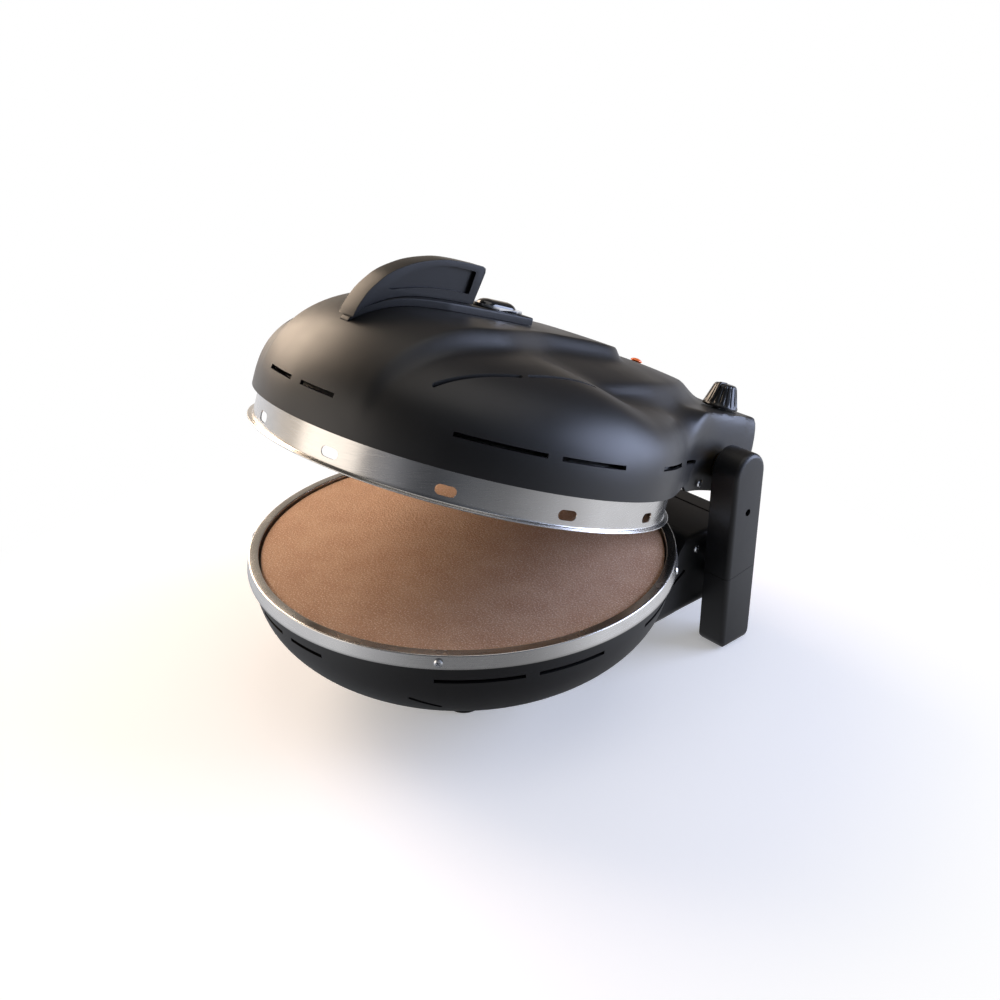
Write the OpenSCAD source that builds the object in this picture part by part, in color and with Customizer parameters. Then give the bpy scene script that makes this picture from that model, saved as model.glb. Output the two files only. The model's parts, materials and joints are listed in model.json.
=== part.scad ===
// Countertop pizza maker: a stone baking base with a lid that tips back between two side legs.
// Millimetres, +Z up, front towards -Y. The origin is the centre of the stone's top face.
// The lid is drawn closed and then turned about the hinge pins to its resting angle.

/* [Cooking stone] */
// Diameter of the baking stone
stone_d = 310; // [300:1:320]
// Thickness of the baking stone
stone_t = 14; // [10:0.5:18]
// Chamfer on the stone's edges
stone_chamfer = 1.5; // [0.5:0.1:3]
// Gap between the stone and its steel seat
stone_gap = 1.5; // [0.5:0.1:3]

/* [Lower steel rim] */
// Width of the rim's flange, from the stone's seat to the outer edge
rim_flange_w = 7.5; // [6:0.5:10]
// Height of the rim's visible band
rim_h = 10; // [8:0.5:14]
// How far the band flares out at its lower edge
rim_flare = 1.5; // [0.5:0.1:3]
// How far the rim stands above the stone
rim_rise = 2; // [1:0.1:4]
// Thickness of the rim's steel sheet
rim_sheet = 1; // [0.8:0.1:1.5]
// Width of the ledge that carries the stone
ledge_w = 8; // [6:0.5:12]

/* [Base shell] */
// Gap between the bowl's wall and the rim's seat
bowl_gap = 0.5; // [0.3:0.1:1]
// Depth of the bowl below the rim's band
bowl_depth = 93; // [80:1:95]
// Wall of the base shell
base_wall = 3; // [2:0.25:3.5]
// Height of the neck's deck below the stone's top face
deck_drop = 15; // [12:1:18]
// Height above the table of the lowest point of the bowl
bowl_clearance = 7.5; // [5:0.5:12]

/* [Neck and legs] */
// Half of the width of both necks
neck_half_w = 98; // [92:1:104]
// Distance from the hinge axis to the back of the neck
neck_tail = 42; // [36:1:48]
// Gap between the necks and the legs
leg_gap = 7.6; // [6:0.1:9]
// Thickness of a leg, across the appliance
leg_t = 24.4; // [22:0.2:30]
// Width of a leg, front to back
leg_w = 36; // [32:0.5:42]
// How far the middle of the legs stands before the hinge axis
leg_shift = 2.6; // [0:0.1:4]
// Height of the centre of the legs' round heads above the hinge axis
leg_head_lift = 2; // [0:0.5:4]
// Rounding of the legs' long edges
leg_round = 4; // [2:0.5:6]
// Rounding of the legs' lower ends
leg_end_round = 7; // [4:0.5:9]
// Height below the stone of the joint between leg and leg foot
leg_joint_drop = 42; // [36:1:52]
// Slope of the joint between leg and leg foot
leg_joint_slope = 7; // [0:1:12]

/* [Hinge] */
// Distance of the hinge axis behind the rim's outer edge
hinge_gap = 23; // [20:0.5:26]
// Height of the hinge axis above the stone
hinge_z = 41.5; // [39:0.5:46]
// Diameter of the hinge pins
pin_d = 10; // [8:0.5:12]
// Radial clearance between pin and bush
pin_clearance = 0.06; // [0.02:0.01:0.1]
// Angle at which the lid stands open in the resting pose
lid_open = 19.6; // [0:0.2:30]

/* [Lid shell] */
// How far the lid shell's lower edge stands inside the rim's outer edge
lid_step = 2.5; // [1:0.5:4]
// Height of the lid shell's lower edge above the stone
lid_edge_z = 26.5; // [24:0.5:28]
// Height of the lid neck's lower edge above the stone
lid_neck_z = 19.5; // [17:0.5:21]
// Height of the shoulders above the stone
shoulder_z = 105; // [100:1:108]
// Height of the rear control deck above the stone
deck_z = 82; // [78:1:86]
// Height of the middle terrace above the stone
terrace_z = 106; // [102:1:108]
// Height of the raised spine above the stone
spine_z = 113.5; // [111:0.5:118]
// Half width of the spine over the front
spine_front_w = 58; // [50:1:64]
// Half width of the spine over the back
spine_back_w = 34; // [28:1:40]
// Distance of the spine's rear end behind the centre
spine_end = 119; // [116:1:134]
// Wall of the lid shell
lid_wall = 2.5; // [2:0.25:3]
// Width of the vent slots
slot_w = 3; // [2:0.25:4]

/* [Lid ring] */
// How far the steel band stands inside the lid shell's lower edge
ring_step = 5; // [4.5:0.5:8]
// Height of the ring's lower lip above the stone when closed
lip_z = 3.7; // [3:0.1:5]
// Width of the lip
lip_w = 4; // [2:0.25:6]
// Thickness of the lip and its fold
lip_t = 1.2; // [1:0.1:2]
// Thickness of the band
ring_sheet = 0.8; // [0.6:0.1:1.2]
// Number of oblong steam holes in the band
steam_holes = 12; // [6:1:16]
// Length of a steam hole
steam_hole_l = 14; // [10:0.5:18]
// Height of a steam hole
steam_hole_h = 7; // [5:0.5:9]

/* [Heating] */
// Diameter of a tubular heating element
element_d = 7; // [6:0.5:8]
// Diameter of the lower element's ring
lower_ring_d = 190; // [160:5:220]
// Diameter of the upper element's ring
upper_ring_d = 200; // [160:5:220]

/* [Handle] */
// Distance of the fin's front end behind the lid's front edge
fin_set = 29.5; // [26:0.5:34]
// Length of the fin
fin_l = 100; // [96:1:106]
// Thickness of the fin
fin_t = 16; // [12:1:20]
// Half width of the handle's base frame
frame_half_w = 16.5; // [14:0.5:20]
// Height of the base frame above the lid
frame_h = 6; // [4:0.5:8]
// Depth of the panel sunk into each side of the fin
panel_depth = 3; // [1:0.5:4.5]

/* [Controls] */
// Distance of the knob from the neck's side
knob_inset = 29; // [24:1:34]
// Distance of the knob behind the hinge axis
knob_back = 16.5; // [12:0.5:19]
// Diameter of the knob at its foot
knob_d = 29.5; // [26:0.5:34]
// Height of the knob
knob_h = 19.5; // [16:0.5:24]
// Gap under the knob's foot, above the highest point of the lid there
knob_gap = 1.2; // [1:0.1:2]
// How much the knob's radius shrinks up to its top edge
knob_taper = 5; // [3:0.5:6]
// Number of flutes round the knob
knob_flutes = 18; // [12:1:24]
// Diameter of the thermostat's shaft
shaft_d = 6; // [5:0.5:7]
// Distance of the indicator lamp before the hinge axis
lamp_front = 19; // [12:1:27]
// Diameter of the indicator lamp
lamp_d = 10; // [7:0.5:12]
// Height of the lamp's dome above its edge
lamp_rise = 2.4; // [1:0.2:4]

/* [Feet] */
// Diameter of a front foot
foot_d = 28; // [20:1:32]
// Distance of the front feet from the middle
foot_x = 45; // [42:1:60]
// Distance of the front feet before the centre
foot_y = -38; // [-60:1:-34]

/* [Hidden] */
$fn = 96;

stone_r = stone_d / 2;
seat_r = stone_r + stone_gap;
rim_r = seat_r + rim_flange_w;
hinge_y = rim_r + hinge_gap;
neck_back = hinge_y + neck_tail;
band_z = rim_rise - rim_h;
bowl_r = seat_r + rim_sheet + bowl_gap + base_wall;
bowl_top = band_z - 3;
bowl_bottom = bowl_top - bowl_depth;
floor_z = bowl_bottom - bowl_clearance;
lid_r = rim_r - lid_step;
ring_r = lid_r - ring_step;
leg_in = neck_half_w + leg_gap;
leg_out = leg_in + leg_t;
leg_y = hinge_y - leg_shift;
leg_head_z = hinge_z + leg_head_lift;
pad_h = 0.8;
pad_r = 4.5;
leg_bottom = floor_z + pad_h;
fit_gap = 0.25;
half_slot = slot_w / 2;

// Points of an arc about (x, y), radius r, from angle a to angle b in n steps
function arc(x, y, r, a, b, n) =
    [for (i = [0 : n]) let (t = a + (b - a) * i / n) [x + r * cos(t), y + r * sin(t)]];
function smooth_step(t) = let (c = min(max(t, 0), 1)) c * c * (3 - 2 * c);
// Larger of two values, with the change rounded over a width r
function soft_max(a, b, r) = let (d = max(r - abs(a - b), 0) / r) max(a, b) + d * d * r / 4;
// Zero inside an edge, then a ramp whose start is rounded over a width r
function ramp(e, r) = e <= 0 ? 0 : e * e / (e + r);

// Turns what is drawn with the lid closed to the resting angle
module on_lid() {
    translate([0, hinge_y, hinge_z]) rotate([-lid_open, 0, 0])
        translate([0, -hinge_y, -hinge_z]) children();
}
module both_sides() {
    children();
    mirror([1, 0, 0]) children();
}
// A cylinder along X from x0 to x1, at height z and depth y
module x_rod(x0, x1, y, z, r) {
    translate([x0, y, z]) rotate([0, 90, 0]) cylinder(r = r, h = x1 - x0);
}
// A slab from x0 to x1 whose outline is drawn in Y and Z
module x_slab(x0, x1) {
    translate([x0, 0, 0]) rotate([90, 0, 90]) linear_extrude(x1 - x0) children();
}
// A slab from y0 to y1 whose outline is drawn in X and Z
module y_slab(y0, y1) {
    translate([0, y1, 0]) rotate([90, 0, 0]) linear_extrude(y1 - y0) children();
}

// ---- Base ----
// Half profile of the bowl, smaller by inset all round
function bowl_profile(inset) = [for (t = [0 : 7.5 : 90])
    [(bowl_r - inset) * pow(cos(t), 2 / 1.69), bowl_top - (bowl_depth - inset) * pow(sin(t), 2 / 2.28)]];
neck_front = hinge_y - 29;
neck_round = 18;
neck_floor = bowl_bottom + 25;
neck_root = bowl_r - 71;
root_top = -deck_drop - 27;
// Side outline of the neck, in Y and Z, smaller by inset all round
function neck_side(inset) = concat(
    arc(neck_front, -deck_drop - neck_round, neck_round - inset, 155, 90, 5),
    arc(neck_back - 10, -deck_drop - 10, 10 - inset, 90, 0, 4),
    arc(neck_back - neck_round, neck_floor + neck_round, neck_round - inset, 0, -90, 5),
    [[neck_root + 60, neck_floor + inset], [neck_root + 34, neck_floor - 3 + inset],
    [neck_root + 18, neck_floor - 6 + inset], [neck_root + 8 + inset / 2, neck_floor - 4 + inset],
    [neck_root + inset, neck_floor + 5 + inset], [neck_root + inset, root_top - inset],
    [neck_root + 28, root_top - inset]]);
// Front outline of the neck, in X and Z, smaller by inset all round
function neck_width(inset, top_r) =
    let (w = neck_half_w - inset, z1 = -deck_drop - inset, z0 = neck_floor - 7 + inset) concat(
        arc(w - top_r, z1 - top_r, top_r, 0, 90, 4), arc(top_r - w, z1 - top_r, top_r, 90, 180, 4),
        arc(14 - w, z0 + 14, 14, 180, 270, 4), arc(w - 14, z0 + 14, 14, 270, 360, 4));
module neck_block(inset, top_r) {
    intersection() {
        x_slab(-neck_half_w, neck_half_w) polygon(neck_side(inset));
        y_slab(neck_root - 10, neck_back + 1) polygon(neck_width(inset, top_r));
    }
}
module bowl_solid(inset, top) {
    rotate_extrude() polygon(concat([[0, top], [bowl_r - inset, top]], bowl_profile(inset)));
}
// Ring-wise vent slots: [first angle, last angle], counted from the front towards the right
row_slots = [[2, 13.5], [43.5, 65.5], [69, 87.5], [104, 120]];
base_slot_z = -20.5;
module base_slots() {
    for (s = row_slots)
        rotate([0, 0, s[0] - 90]) translate([0, 0, base_slot_z - half_slot])
            rotate_extrude(angle = s[1] - s[0]) translate([bowl_r - 12, 0]) square([16, slot_w]);
    // A slot that slopes down under the bowl, and one in the side of the neck
    rotate([0, 0, -49.6]) translate([0, 0, -45]) rotate([-25.4, 0, 0])
        translate([bowl_r - 32, -12, -half_slot]) cube([32, 24, slot_w]);
    translate([neck_half_w - 8, bowl_r - 17, -46]) rotate([32, 0, 0])
        translate([0, -6, -half_slot]) cube([12, 13, slot_w]);
}
cover_half_w = neck_half_w - 6;
cover_front = bowl_r + 2;
cover_back = hinge_y + 18;
cover_t = 3;
deck_slot = 2;
bolt_r = 3;
bolt_places = [[hinge_y - 4, -32], [hinge_y + 4, -56]];
neck_screw_at = [hinge_y - 23, -deck_drop - 11.5];
screw_r = 2;
gland_at = [-55, -42];
gland_r = 6;
// Height of the bowl's underside at radius r
function bowl_z(r) = bowl_top - bowl_depth * pow(1 - pow(r / bowl_r, 1.69), 1 / 2.28);
foot_top = bowl_z(norm([foot_x, foot_y]) - foot_d / 2 + 1.5) - 0.2;
module lower_shell() {
    color("#2a2a2c") difference() {
        union() {
            bowl_solid(0, rim_rise - rim_sheet);
            neck_block(0, 5);
            both_sides() translate([foot_x, foot_y, foot_top]) cylinder(d = foot_d - 3, h = 20);
        }
        bowl_solid(base_wall, rim_rise + 1);
        neck_block(base_wall, 3);
        translate([-cover_half_w - fit_gap, cover_front - fit_gap, -deck_drop - cover_t - 1])
            cube([2 * (cover_half_w + fit_gap), cover_back - cover_front + fit_gap + deck_slot, cover_t + 3]);
        both_sides() base_slots();
        both_sides() for (b = bolt_places)
            x_rod(neck_half_w - 12, neck_half_w + 1, b[0], b[1], bolt_r + 0.2);
        both_sides()
            x_rod(neck_half_w - 12, neck_half_w + 1, neck_screw_at[0], neck_screw_at[1], screw_r);
        for (a = rim_screw_angles) rotate([0, 0, a]) x_rod(bowl_r - 6, bowl_r + 1, 0, rim_screw_z, screw_r);
        translate([gland_at[0], neck_back + 1, gland_at[1]]) rotate([90, 0, 0]) cylinder(r = gland_r, h = 20);
    }
}
module lower_steel_rim() {
    t = rim_sheet;
    color("#c9c8c6") difference() {
        rotate_extrude() polygon([
            [rim_r + rim_flare, band_z], [rim_r, rim_rise - 0.6], [rim_r - 0.6, rim_rise],
            [seat_r, rim_rise], [seat_r, -stone_t], [seat_r - ledge_w, -stone_t],
            [seat_r - ledge_w, -stone_t - t], [seat_r + t, -stone_t - t], [seat_r + t, rim_rise - t],
            [rim_r - t, rim_rise - t], [rim_r + rim_flare - t, band_z]]);
        for (a = rim_screw_angles) rotate([0, 0, a]) x_rod(rim_r - 6, rim_r + 6, 0, rim_screw_z, screw_r);
    }
}
module pizza_stone() {
    c = stone_chamfer;
    color("#8f7160") rotate_extrude() polygon([
        [0, -stone_t], [stone_r - c, -stone_t], [stone_r, c - stone_t], [stone_r, -c],
        [stone_r - c, 0], [0, 0]]);
}
pan_sheet = 0.8;
pan_top = -stone_t - rim_sheet;
pan_floor = pan_top - 33;
pan_r = seat_r - 12;
lower_element_z = pan_floor + 12;
element_r = element_d / 2;
lead_x = 9;
lead_hole_r = element_r + 0.8;
module lower_reflector_pan() {
    s = pan_sheet;
    color("#b9babb") difference() {
        rotate_extrude() polygon([
            [0, pan_floor], [pan_r - 8, pan_floor], [pan_r, pan_floor + 8], [pan_r, pan_top - s],
            [seat_r - 1, pan_top - s], [seat_r - 1, pan_top], [pan_r - s, pan_top],
            [pan_r - s, pan_floor + 8.4], [pan_r - 8.4, pan_floor + s], [0, pan_floor + s]]);
        both_sides() translate([lead_x, pan_r - 12, lower_element_z]) rotate([-90, 0, 0])
            cylinder(r = lead_hole_r, h = 20);
    }
}
// A tubular element: an open ring whose two ends turn and run out to the rear
module element(ring_d, z, lead_end) {
    r = ring_d / 2;
    gap = asin(lead_x / r);
    translate([0, 0, z]) {
        rotate([0, 0, 90 + gap]) rotate_extrude(angle = 360 - 2 * gap, $fn = 72)
            translate([r, 0]) circle(r = element_r, $fn = 32);
        both_sides() translate([lead_x, r * cos(gap), 0]) {
            sphere(r = element_r + 0.4, $fn = 48);
            rotate([-90, 0, 0]) cylinder(r = element_r, h = lead_end - r * cos(gap), $fn = 32);
        }
    }
}
// Three sheet brackets, each a post with a foot
module brackets(ring_d, z0, z1, foot_z) {
    for (a = [30, 150, 270]) rotate([0, 0, a]) translate([ring_d / 2, 0, 0]) {
        translate([-4, -0.6, z0]) cube([8, 1.2, z1 - z0]);
        translate([-4, -5, foot_z]) cube([8, 10, 1.2]);
    }
}
terminal_l = 12;
lower_lead_end = pan_r + 16;
upper_lead_end = ring_r + 22;
module terminals(z, lead_end) {
    both_sides() translate([lead_x, lead_end - terminal_l, z]) rotate([-90, 0, 0]) difference() {
        cylinder(r = element_r + 2, h = terminal_l);
        translate([0, 0, -1]) cylinder(r = element_r, h = terminal_l + 2);
    }
}
module lower_heating_element() {
    color("#5a5d60") element(lower_ring_d, lower_element_z, lower_lead_end);
}
module lower_element_brackets() {
    foot = pan_floor + pan_sheet;
    color("#a8a9aa") brackets(lower_ring_d, foot, lower_element_z - element_r, foot);
}
module lower_element_terminals() {
    color("#e8e4da") terminals(lower_element_z, lower_lead_end);
}
module neck_deck_cover() {
    top = -deck_drop;
    color("#2a2a2c") union() {
        translate([-cover_half_w, cover_front, top - cover_t])
            cube([2 * cover_half_w, cover_back - cover_front, cover_t]);
        translate([-cover_half_w - 1, cover_front - 1, top - base_wall - 2.3])
            cube([2 * cover_half_w + 2, cover_back - cover_front + 4, 2]);
        translate([-cover_half_w + 1, cover_front + 1, top - base_wall - 0.5])
            cube([2 * cover_half_w - 2, cover_back - cover_front - 2, base_wall - cover_t + 1]);
    }
}
module terminal_block() {
    back = neck_back - base_wall;
    color("#e8e4da") difference() {
        translate([-22, back - 16, -58]) cube([44, 16, 14]);
        for (x = [-14, 0, 14]) translate([x, back - 9, -50]) cylinder(r = 2.5, h = 10);
    }
}
module cord_gland() {
    color("#1d1d1e") translate([gland_at[0], neck_back, gland_at[1]]) rotate([90, 0, 0]) difference() {
        union() {
            translate([0, 0, -4]) cylinder(r1 = gland_r + 1.5, r2 = gland_r + 3, h = 4);
            cylinder(r = gland_r - 0.1, h = base_wall);
            translate([0, 0, base_wall]) cylinder(r = gland_r + 2, h = 2);
        }
        translate([0, 0, -5]) cylinder(r = 3.6, h = base_wall + 9);
    }
}
// Full leg, from the rounded head down to the floor, before it is cut in two
module leg_bar() {
    r = leg_w / 2;
    e = leg_round;
    b = leg_end_round;
    outline = concat([[0, 0]], arc(r - 1, 1, 1, -90, 0, 3), arc(r - e, leg_t - e, e, 0, 90, 5), [[0, leg_t]]);
    section = concat(arc(r - 1, 1, 1, -90, 0, 3), arc(r - e, leg_t - e, e, 0, 90, 5),
        arc(e - r, leg_t - e, e, 90, 180, 5), arc(1 - r, 1, 1, 180, 270, 3));
    intersection() {
        union() {
            translate([leg_in, leg_y, leg_head_z]) rotate([0, 90, 0]) rotate_extrude() polygon(outline);
            translate([leg_in, leg_y, leg_bottom]) rotate([0, 0, -90]) mirror([1, 0, 0])
                linear_extrude(leg_head_z - leg_bottom) polygon(section);
        }
        x_slab(leg_in - 1, leg_out + 1) translate([leg_y, 0]) polygon(concat(
            arc(r - 9, leg_bottom + 9, 9, 0, -90, 6), arc(9 - r, leg_bottom + 9, 9, -90, -180, 6),
            [[-r - 1, leg_head_z + r + 1], [r + 1, leg_head_z + r + 1]]));
        y_slab(leg_y - leg_w, leg_y + leg_w) polygon(concat(
            arc(leg_out - b, leg_bottom + b, b, 0, -90, 6), arc(leg_in + b, leg_bottom + b, b, -90, -180, 6),
            [[leg_in - 1, leg_head_z + r + 1], [leg_out + 1, leg_head_z + r + 1]]));
    }
}
module above_joint(lift) {
    translate([0, leg_y, -leg_joint_drop + lift]) rotate([leg_joint_slope, 0, 0])
        translate([leg_in - 5, -60, 0]) cube([leg_t + 10, 120, 240]);
}
plate_t = 3;
plate_half_w = 12;
pocket_wall = 7;
post_r = 5;
access_z = 11.7;
plate_bottom = -76;
// Stadium outline in Y and Z: a bar with one round end at the hinge
module stadium(half_w, bottom) {
    translate([hinge_y, hinge_z]) circle(r = half_w);
    translate([hinge_y - half_w, bottom]) square([2 * half_w, hinge_z - bottom]);
}
module leg_pocket() {
    difference() {
        x_slab(leg_in - 1, leg_out - pocket_wall) stadium(plate_half_w + fit_gap, leg_bottom + 12);
        x_rod(leg_in + plate_t, leg_out, leg_y, access_z, post_r);
    }
}
module leg_upper() {
    difference() {
        intersection() {
            leg_bar();
            above_joint(0.15);
        }
        leg_pocket();
        x_rod(leg_in, leg_out + 1, leg_y, access_z, 1.7);
        x_rod(leg_out - 6, leg_out + 1, leg_y, access_z, 3);
    }
}
module leg_lower() {
    difference() {
        leg_bar();
        above_joint(-0.15);
        leg_pocket();
        translate([leg_in + leg_t / 2, leg_y, leg_bottom - 1]) cylinder(r = pad_r + 0.1, h = 3.2);
    }
}
module right_leg() {
    color("#232326") leg_upper();
}
module left_leg() {
    color("#232326") mirror([1, 0, 0]) leg_upper();
}
module right_leg_foot() {
    color("#232326") leg_lower();
}
module left_leg_foot() {
    color("#232326") mirror([1, 0, 0]) leg_lower();
}
module leg_pads() {
    color("#151515") both_sides() translate([leg_in + leg_t / 2, leg_y, floor_z])
        cylinder(r = pad_r, h = pad_h + 2.2);
}
module leg_inner_plates() {
    color("#9fa1a3") both_sides() difference() {
        x_slab(leg_in, leg_in + plate_t) stadium(plate_half_w, plate_bottom);
        x_rod(leg_in - 1, leg_in + plate_t + 1, hinge_y, hinge_z, pin_d / 2);
        x_rod(leg_in - 1, leg_in + plate_t + 1, leg_y, access_z, 1.6);
        for (b = bolt_places) x_rod(leg_in - 1, leg_in + plate_t + 1, b[0], b[1], bolt_r + 0.2);
    }
}
module leg_spacers() {
    color("#9fa1a3") both_sides() for (b = bolt_places) difference() {
        x_rod(neck_half_w, leg_in, b[0], b[1], 6.5);
        x_rod(neck_half_w - 1, leg_in + 1, b[0], b[1], bolt_r + 0.2);
    }
}
module leg_bolts() {
    inner = neck_half_w - base_wall;
    head = leg_in + plate_t;
    color("#b4b5b7") both_sides() for (b = bolt_places) {
        x_rod(inner - 5, head + 0.5, b[0], b[1], bolt_r);
        x_rod(head, head + 3.5, b[0], b[1], 5);
        x_rod(inner - 4, inner, b[0], b[1], 5);
    }
}
module leg_cover_screws() {
    color("#b4b5b7") both_sides() {
        x_rod(leg_in - 0.5, leg_out - 5, leg_y, access_z, 1.6);
        x_rod(leg_out - 6, leg_out - 4, leg_y, access_z, 2.8);
    }
}
module hinge_pins() {
    color("#c4c5c7") both_sides() {
        x_rod(neck_half_w - 14, leg_in + plate_t + 1, hinge_y, hinge_z, pin_d / 2);
        x_rod(leg_in + plate_t, leg_in + plate_t + 4, hinge_y, hinge_z, pin_d / 2 + 3);
    }
}
washer_t = 1.4;
module hinge_washers() {
    color("#c4c5c7") both_sides() difference() {
        x_rod(leg_in - washer_t, leg_in, hinge_y, hinge_z, pin_d / 2 + 6);
        x_rod(leg_in - 3, leg_in + 1, hinge_y, hinge_z, pin_d / 2 + 0.05);
    }
}
module front_feet() {
    r = foot_d / 2;
    color("#151515") both_sides() translate([foot_x, foot_y, 0]) rotate_extrude()
        polygon(concat([[0, floor_z]], arc(r - 3, floor_z + 3, 3, -90, 0, 4),
            [[r - 1.5, foot_top], [0, foot_top]]));
}
rim_screw_angles = [-45, 33.7, 146.3, 225];
rim_screw_z = -3;
module rim_screws() {
    color("#d5d6d8") for (a = rim_screw_angles) rotate([0, 0, a]) {
        x_rod(bowl_r - 2.9, rim_r + 1.6, 0, rim_screw_z, screw_r - 0.1);
        x_rod(rim_r + rim_flare + 0.1, rim_r + rim_flare + 1.5, 0, rim_screw_z, 3);
    }
}
// A pair of small screws in the sides of a neck, whose wall stands at x
module side_screws(x, y, z) {
    color("#d5d6d8") both_sides() {
        x_rod(x - 7, x + 0.5, y, z, screw_r - 0.1);
        x_rod(x, x + 1.2, y, z, 3);
    }
}
module lower_neck_screws() {
    side_screws(neck_half_w, neck_screw_at[0], neck_screw_at[1]);
}

// ---- Lid, drawn closed ----
// Inset of a point from the lid's outline: a round dome joined to a square-cornered neck
neck_corner = 8;
lid_back = neck_back + 2;
function dome_inset(x, y) = lid_r - norm([x, y]);
function neck_inset(x, y) =
    let (qx = abs(x) - neck_half_w + neck_corner, qy = y - lid_back + neck_corner)
    min(y, neck_corner - norm([max(qx, 0), max(qy, 0)]) - min(max(qx, qy), 0));
function lid_inset(x, y) = soft_max(dome_inset(x, y), neck_inset(x, y), 44);
function edge_height(y) =
    lid_edge_z + (lid_neck_z - lid_edge_z) * smooth_step((y - lid_r + 43.5) / 26);
// Rise of a rounded wall: 0 at its foot, 1 where the inset reaches its depth
function wall_rise(inset, depth, power) =
    pow(1 - pow(1 - min(max(inset / depth, 0), 1), power), 1 / power);
// Shoulders: a dome that is cut down to the rear deck's level, and the box-like neck
function shoulder_height(x, y) = let (e = lid_inset(x, y), low = edge_height(y),
    cap = deck_z + (shoulder_z + 4 - deck_z) * (1 - smooth_step((y + 40) / 90)),
    dome = -soft_max(-low - (shoulder_z - low) * wall_rise(e, lid_r, 2.8), -cap, 9),
    neck = low + (deck_z - low) * wall_rise(e, 6 + 3 * smooth_step((y - hinge_y - 18) / 18), 2.5),
    k = smooth_step((neck_inset(x, y) - dome_inset(x, y)) / 30 + 0.5))
    dome + (neck - dome) * k;
// Middle terrace: falls with the dome at the front and towards the back, with a rounded outline
terrace_w = 84;
terrace_root = 30;
terrace_l = hinge_y - 10;
function terrace_half_w(y) = let (b = max(0, (y - terrace_root) / terrace_l))
    b >= 1 ? 0 : terrace_w * pow(1 - pow(b, 1.8), 1 / 1.8);
function front_fall(x, y, top, power) = let (low = lid_edge_z)
    y > 0 ? top : low + (top - low) * wall_rise(dome_inset(x, y), lid_r, power);
function terrace_height(x, y) = let (b = max(0, (y - terrace_root) / terrace_l),
    outside = terrace_w * (pow(pow(abs(x) / terrace_w, 1.8) + pow(b, 1.8), 1 / 1.8) - 1))
    front_fall(x, y, terrace_z, 2.8) - 0.00056 * pow(max(0, y - 60), 2) - 0.0018 * x * x
        - 1.2 * ramp(outside, 7);
// Raised spine: a steeper dome with a rounded tongue at the back
function spine_half_w(y) = let (
    w = spine_back_w + (spine_front_w - spine_back_w) * smooth_step((30 - y) / 90),
    t = max(0, (y - spine_end + 36) / 36)) t >= 1 ? 0 : w * sqrt(1 - t * t);
function spine_height(x, y) = let (outside = abs(x) + max(0, y - spine_end) - spine_half_w(y))
    -soft_max(-spine_z, -front_fall(x, y, spine_z + 6.5, 2.66), 8) - 0.0003 * x * x
        - 0.0011 * pow(max(0, y - 60), 2) - 1.3 * ramp(outside, 4);
function lid_top(x, y) =
    soft_max(soft_max(shoulder_height(x, y), terrace_height(x, y), 7), spine_height(x, y), 5);

// The shell is drawn in cross rows. Their points follow the edges of the spine and the terrace.
function outline_half(y, lo, hi, n) = let (m = (lo + hi) / 2)
    n == 0 ? m : lid_inset(m, y) > 0 ? outline_half(y, m, hi, n - 1) : outline_half(y, lo, m, n - 1);
function lid_half_w(y) = y > 200
    ? neck_half_w - neck_corner
        + sqrt(max(0, pow(neck_corner, 2) - pow(max(0, y - lid_back + neck_corner), 2)))
    : outline_half(y, 0, lid_r + 2, 24);
tail_rows = [35, 29, 24, 20, 16, 12, 9, 6.5, 4.5, 2.8, 1.4, 0.4, 0];
row_k = (lid_back - tail_rows[0]) / 196;
lid_rows = concat([for (i = [0 : 19]) -lid_r * cos(i * 4.5)], [for (y = [2 : 8 : 98]) row_k * y],
    [for (y = [104 : 5 : 134]) row_k * y], [for (y = [141 : 7 : 190]) row_k * y],
    [for (d = tail_rows) lid_back - d]);
function half_row(y) = let (x = lid_half_w(y), s = min(1, x / 110),
    w = min(max(10, spine_half_w(y)), 0.62 * x),
    v = min(max(w / s + 14, terrace_half_w(y)), 0.78 * x),
    g = v + 9 * s)
    concat([0, w * 0.3, w * 0.6, w * 0.85, w, w + 2.5 * s, w + 6 * s],
        [(w + v + 2 * s) / 2, v - 4 * s, v, v + 4 * s, g],
        [for (t = [0.2, 0.4, 0.58, 0.73, 0.85, 0.92, 0.96, 0.983, 0.995, 1]) g + (x - g) * t]);
function full_row(y) = let (h = half_row(y), n = len(h)) concat([for (i = [n - 1 : -1 : 1]) -h[i]], h);
row_n = 2 * len(half_row(0)) - 1;
lid_points = [for (j = [0 : len(lid_rows) - 1])
    let (y = lid_rows[j], xs = j == 0 ? [0] : full_row(y), n = len(xs))
    each [for (i = [0 : n - 1]) let (rim = i == 0 || i == n - 1 || j == len(lid_rows) - 1)
        [xs[i], y, rim ? edge_height(y) : lid_top(xs[i], y)]]];
function at(j, i, n) = j == 0 ? 0 : 1 + (j - 1) * n + i;
// Point of the inner skin: one wall inside the outer point, level with it at the rim
function inner_point(j, i) = let (p = lid_points[at(j, i, row_n)], x = p[0], y = p[1], e = 0.3,
    rim = j == 0 || i == 0 || i == row_n - 1 || j == len(lid_rows) - 1,
    gx = rim ? (lid_inset(x + e, y) - lid_inset(x - e, y)) / e : (lid_top(x - e, y) - lid_top(x + e, y)) / e,
    gy = rim ? (lid_inset(x, y + e) - lid_inset(x, y - e)) / e : (lid_top(x, y - e) - lid_top(x, y + e)) / e,
    n = rim ? [-gx, -gy, 0] : [gx, gy, 2]) p - n / norm(n) * lid_wall;
// Faces of one skin of m rows with n points each
function skin_faces(m, n) = concat([for (i = [0 : n - 2]) [0, at(1, i, n), at(1, i + 1, n)]],
    [for (j = [1 : m - 2], i = [0 : n - 2]) each [[at(j, i, n), at(j + 1, i, n), at(j + 1, i + 1, n)],
        [at(j, i, n), at(j + 1, i + 1, n), at(j, i + 1, n)]]]);
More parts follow.
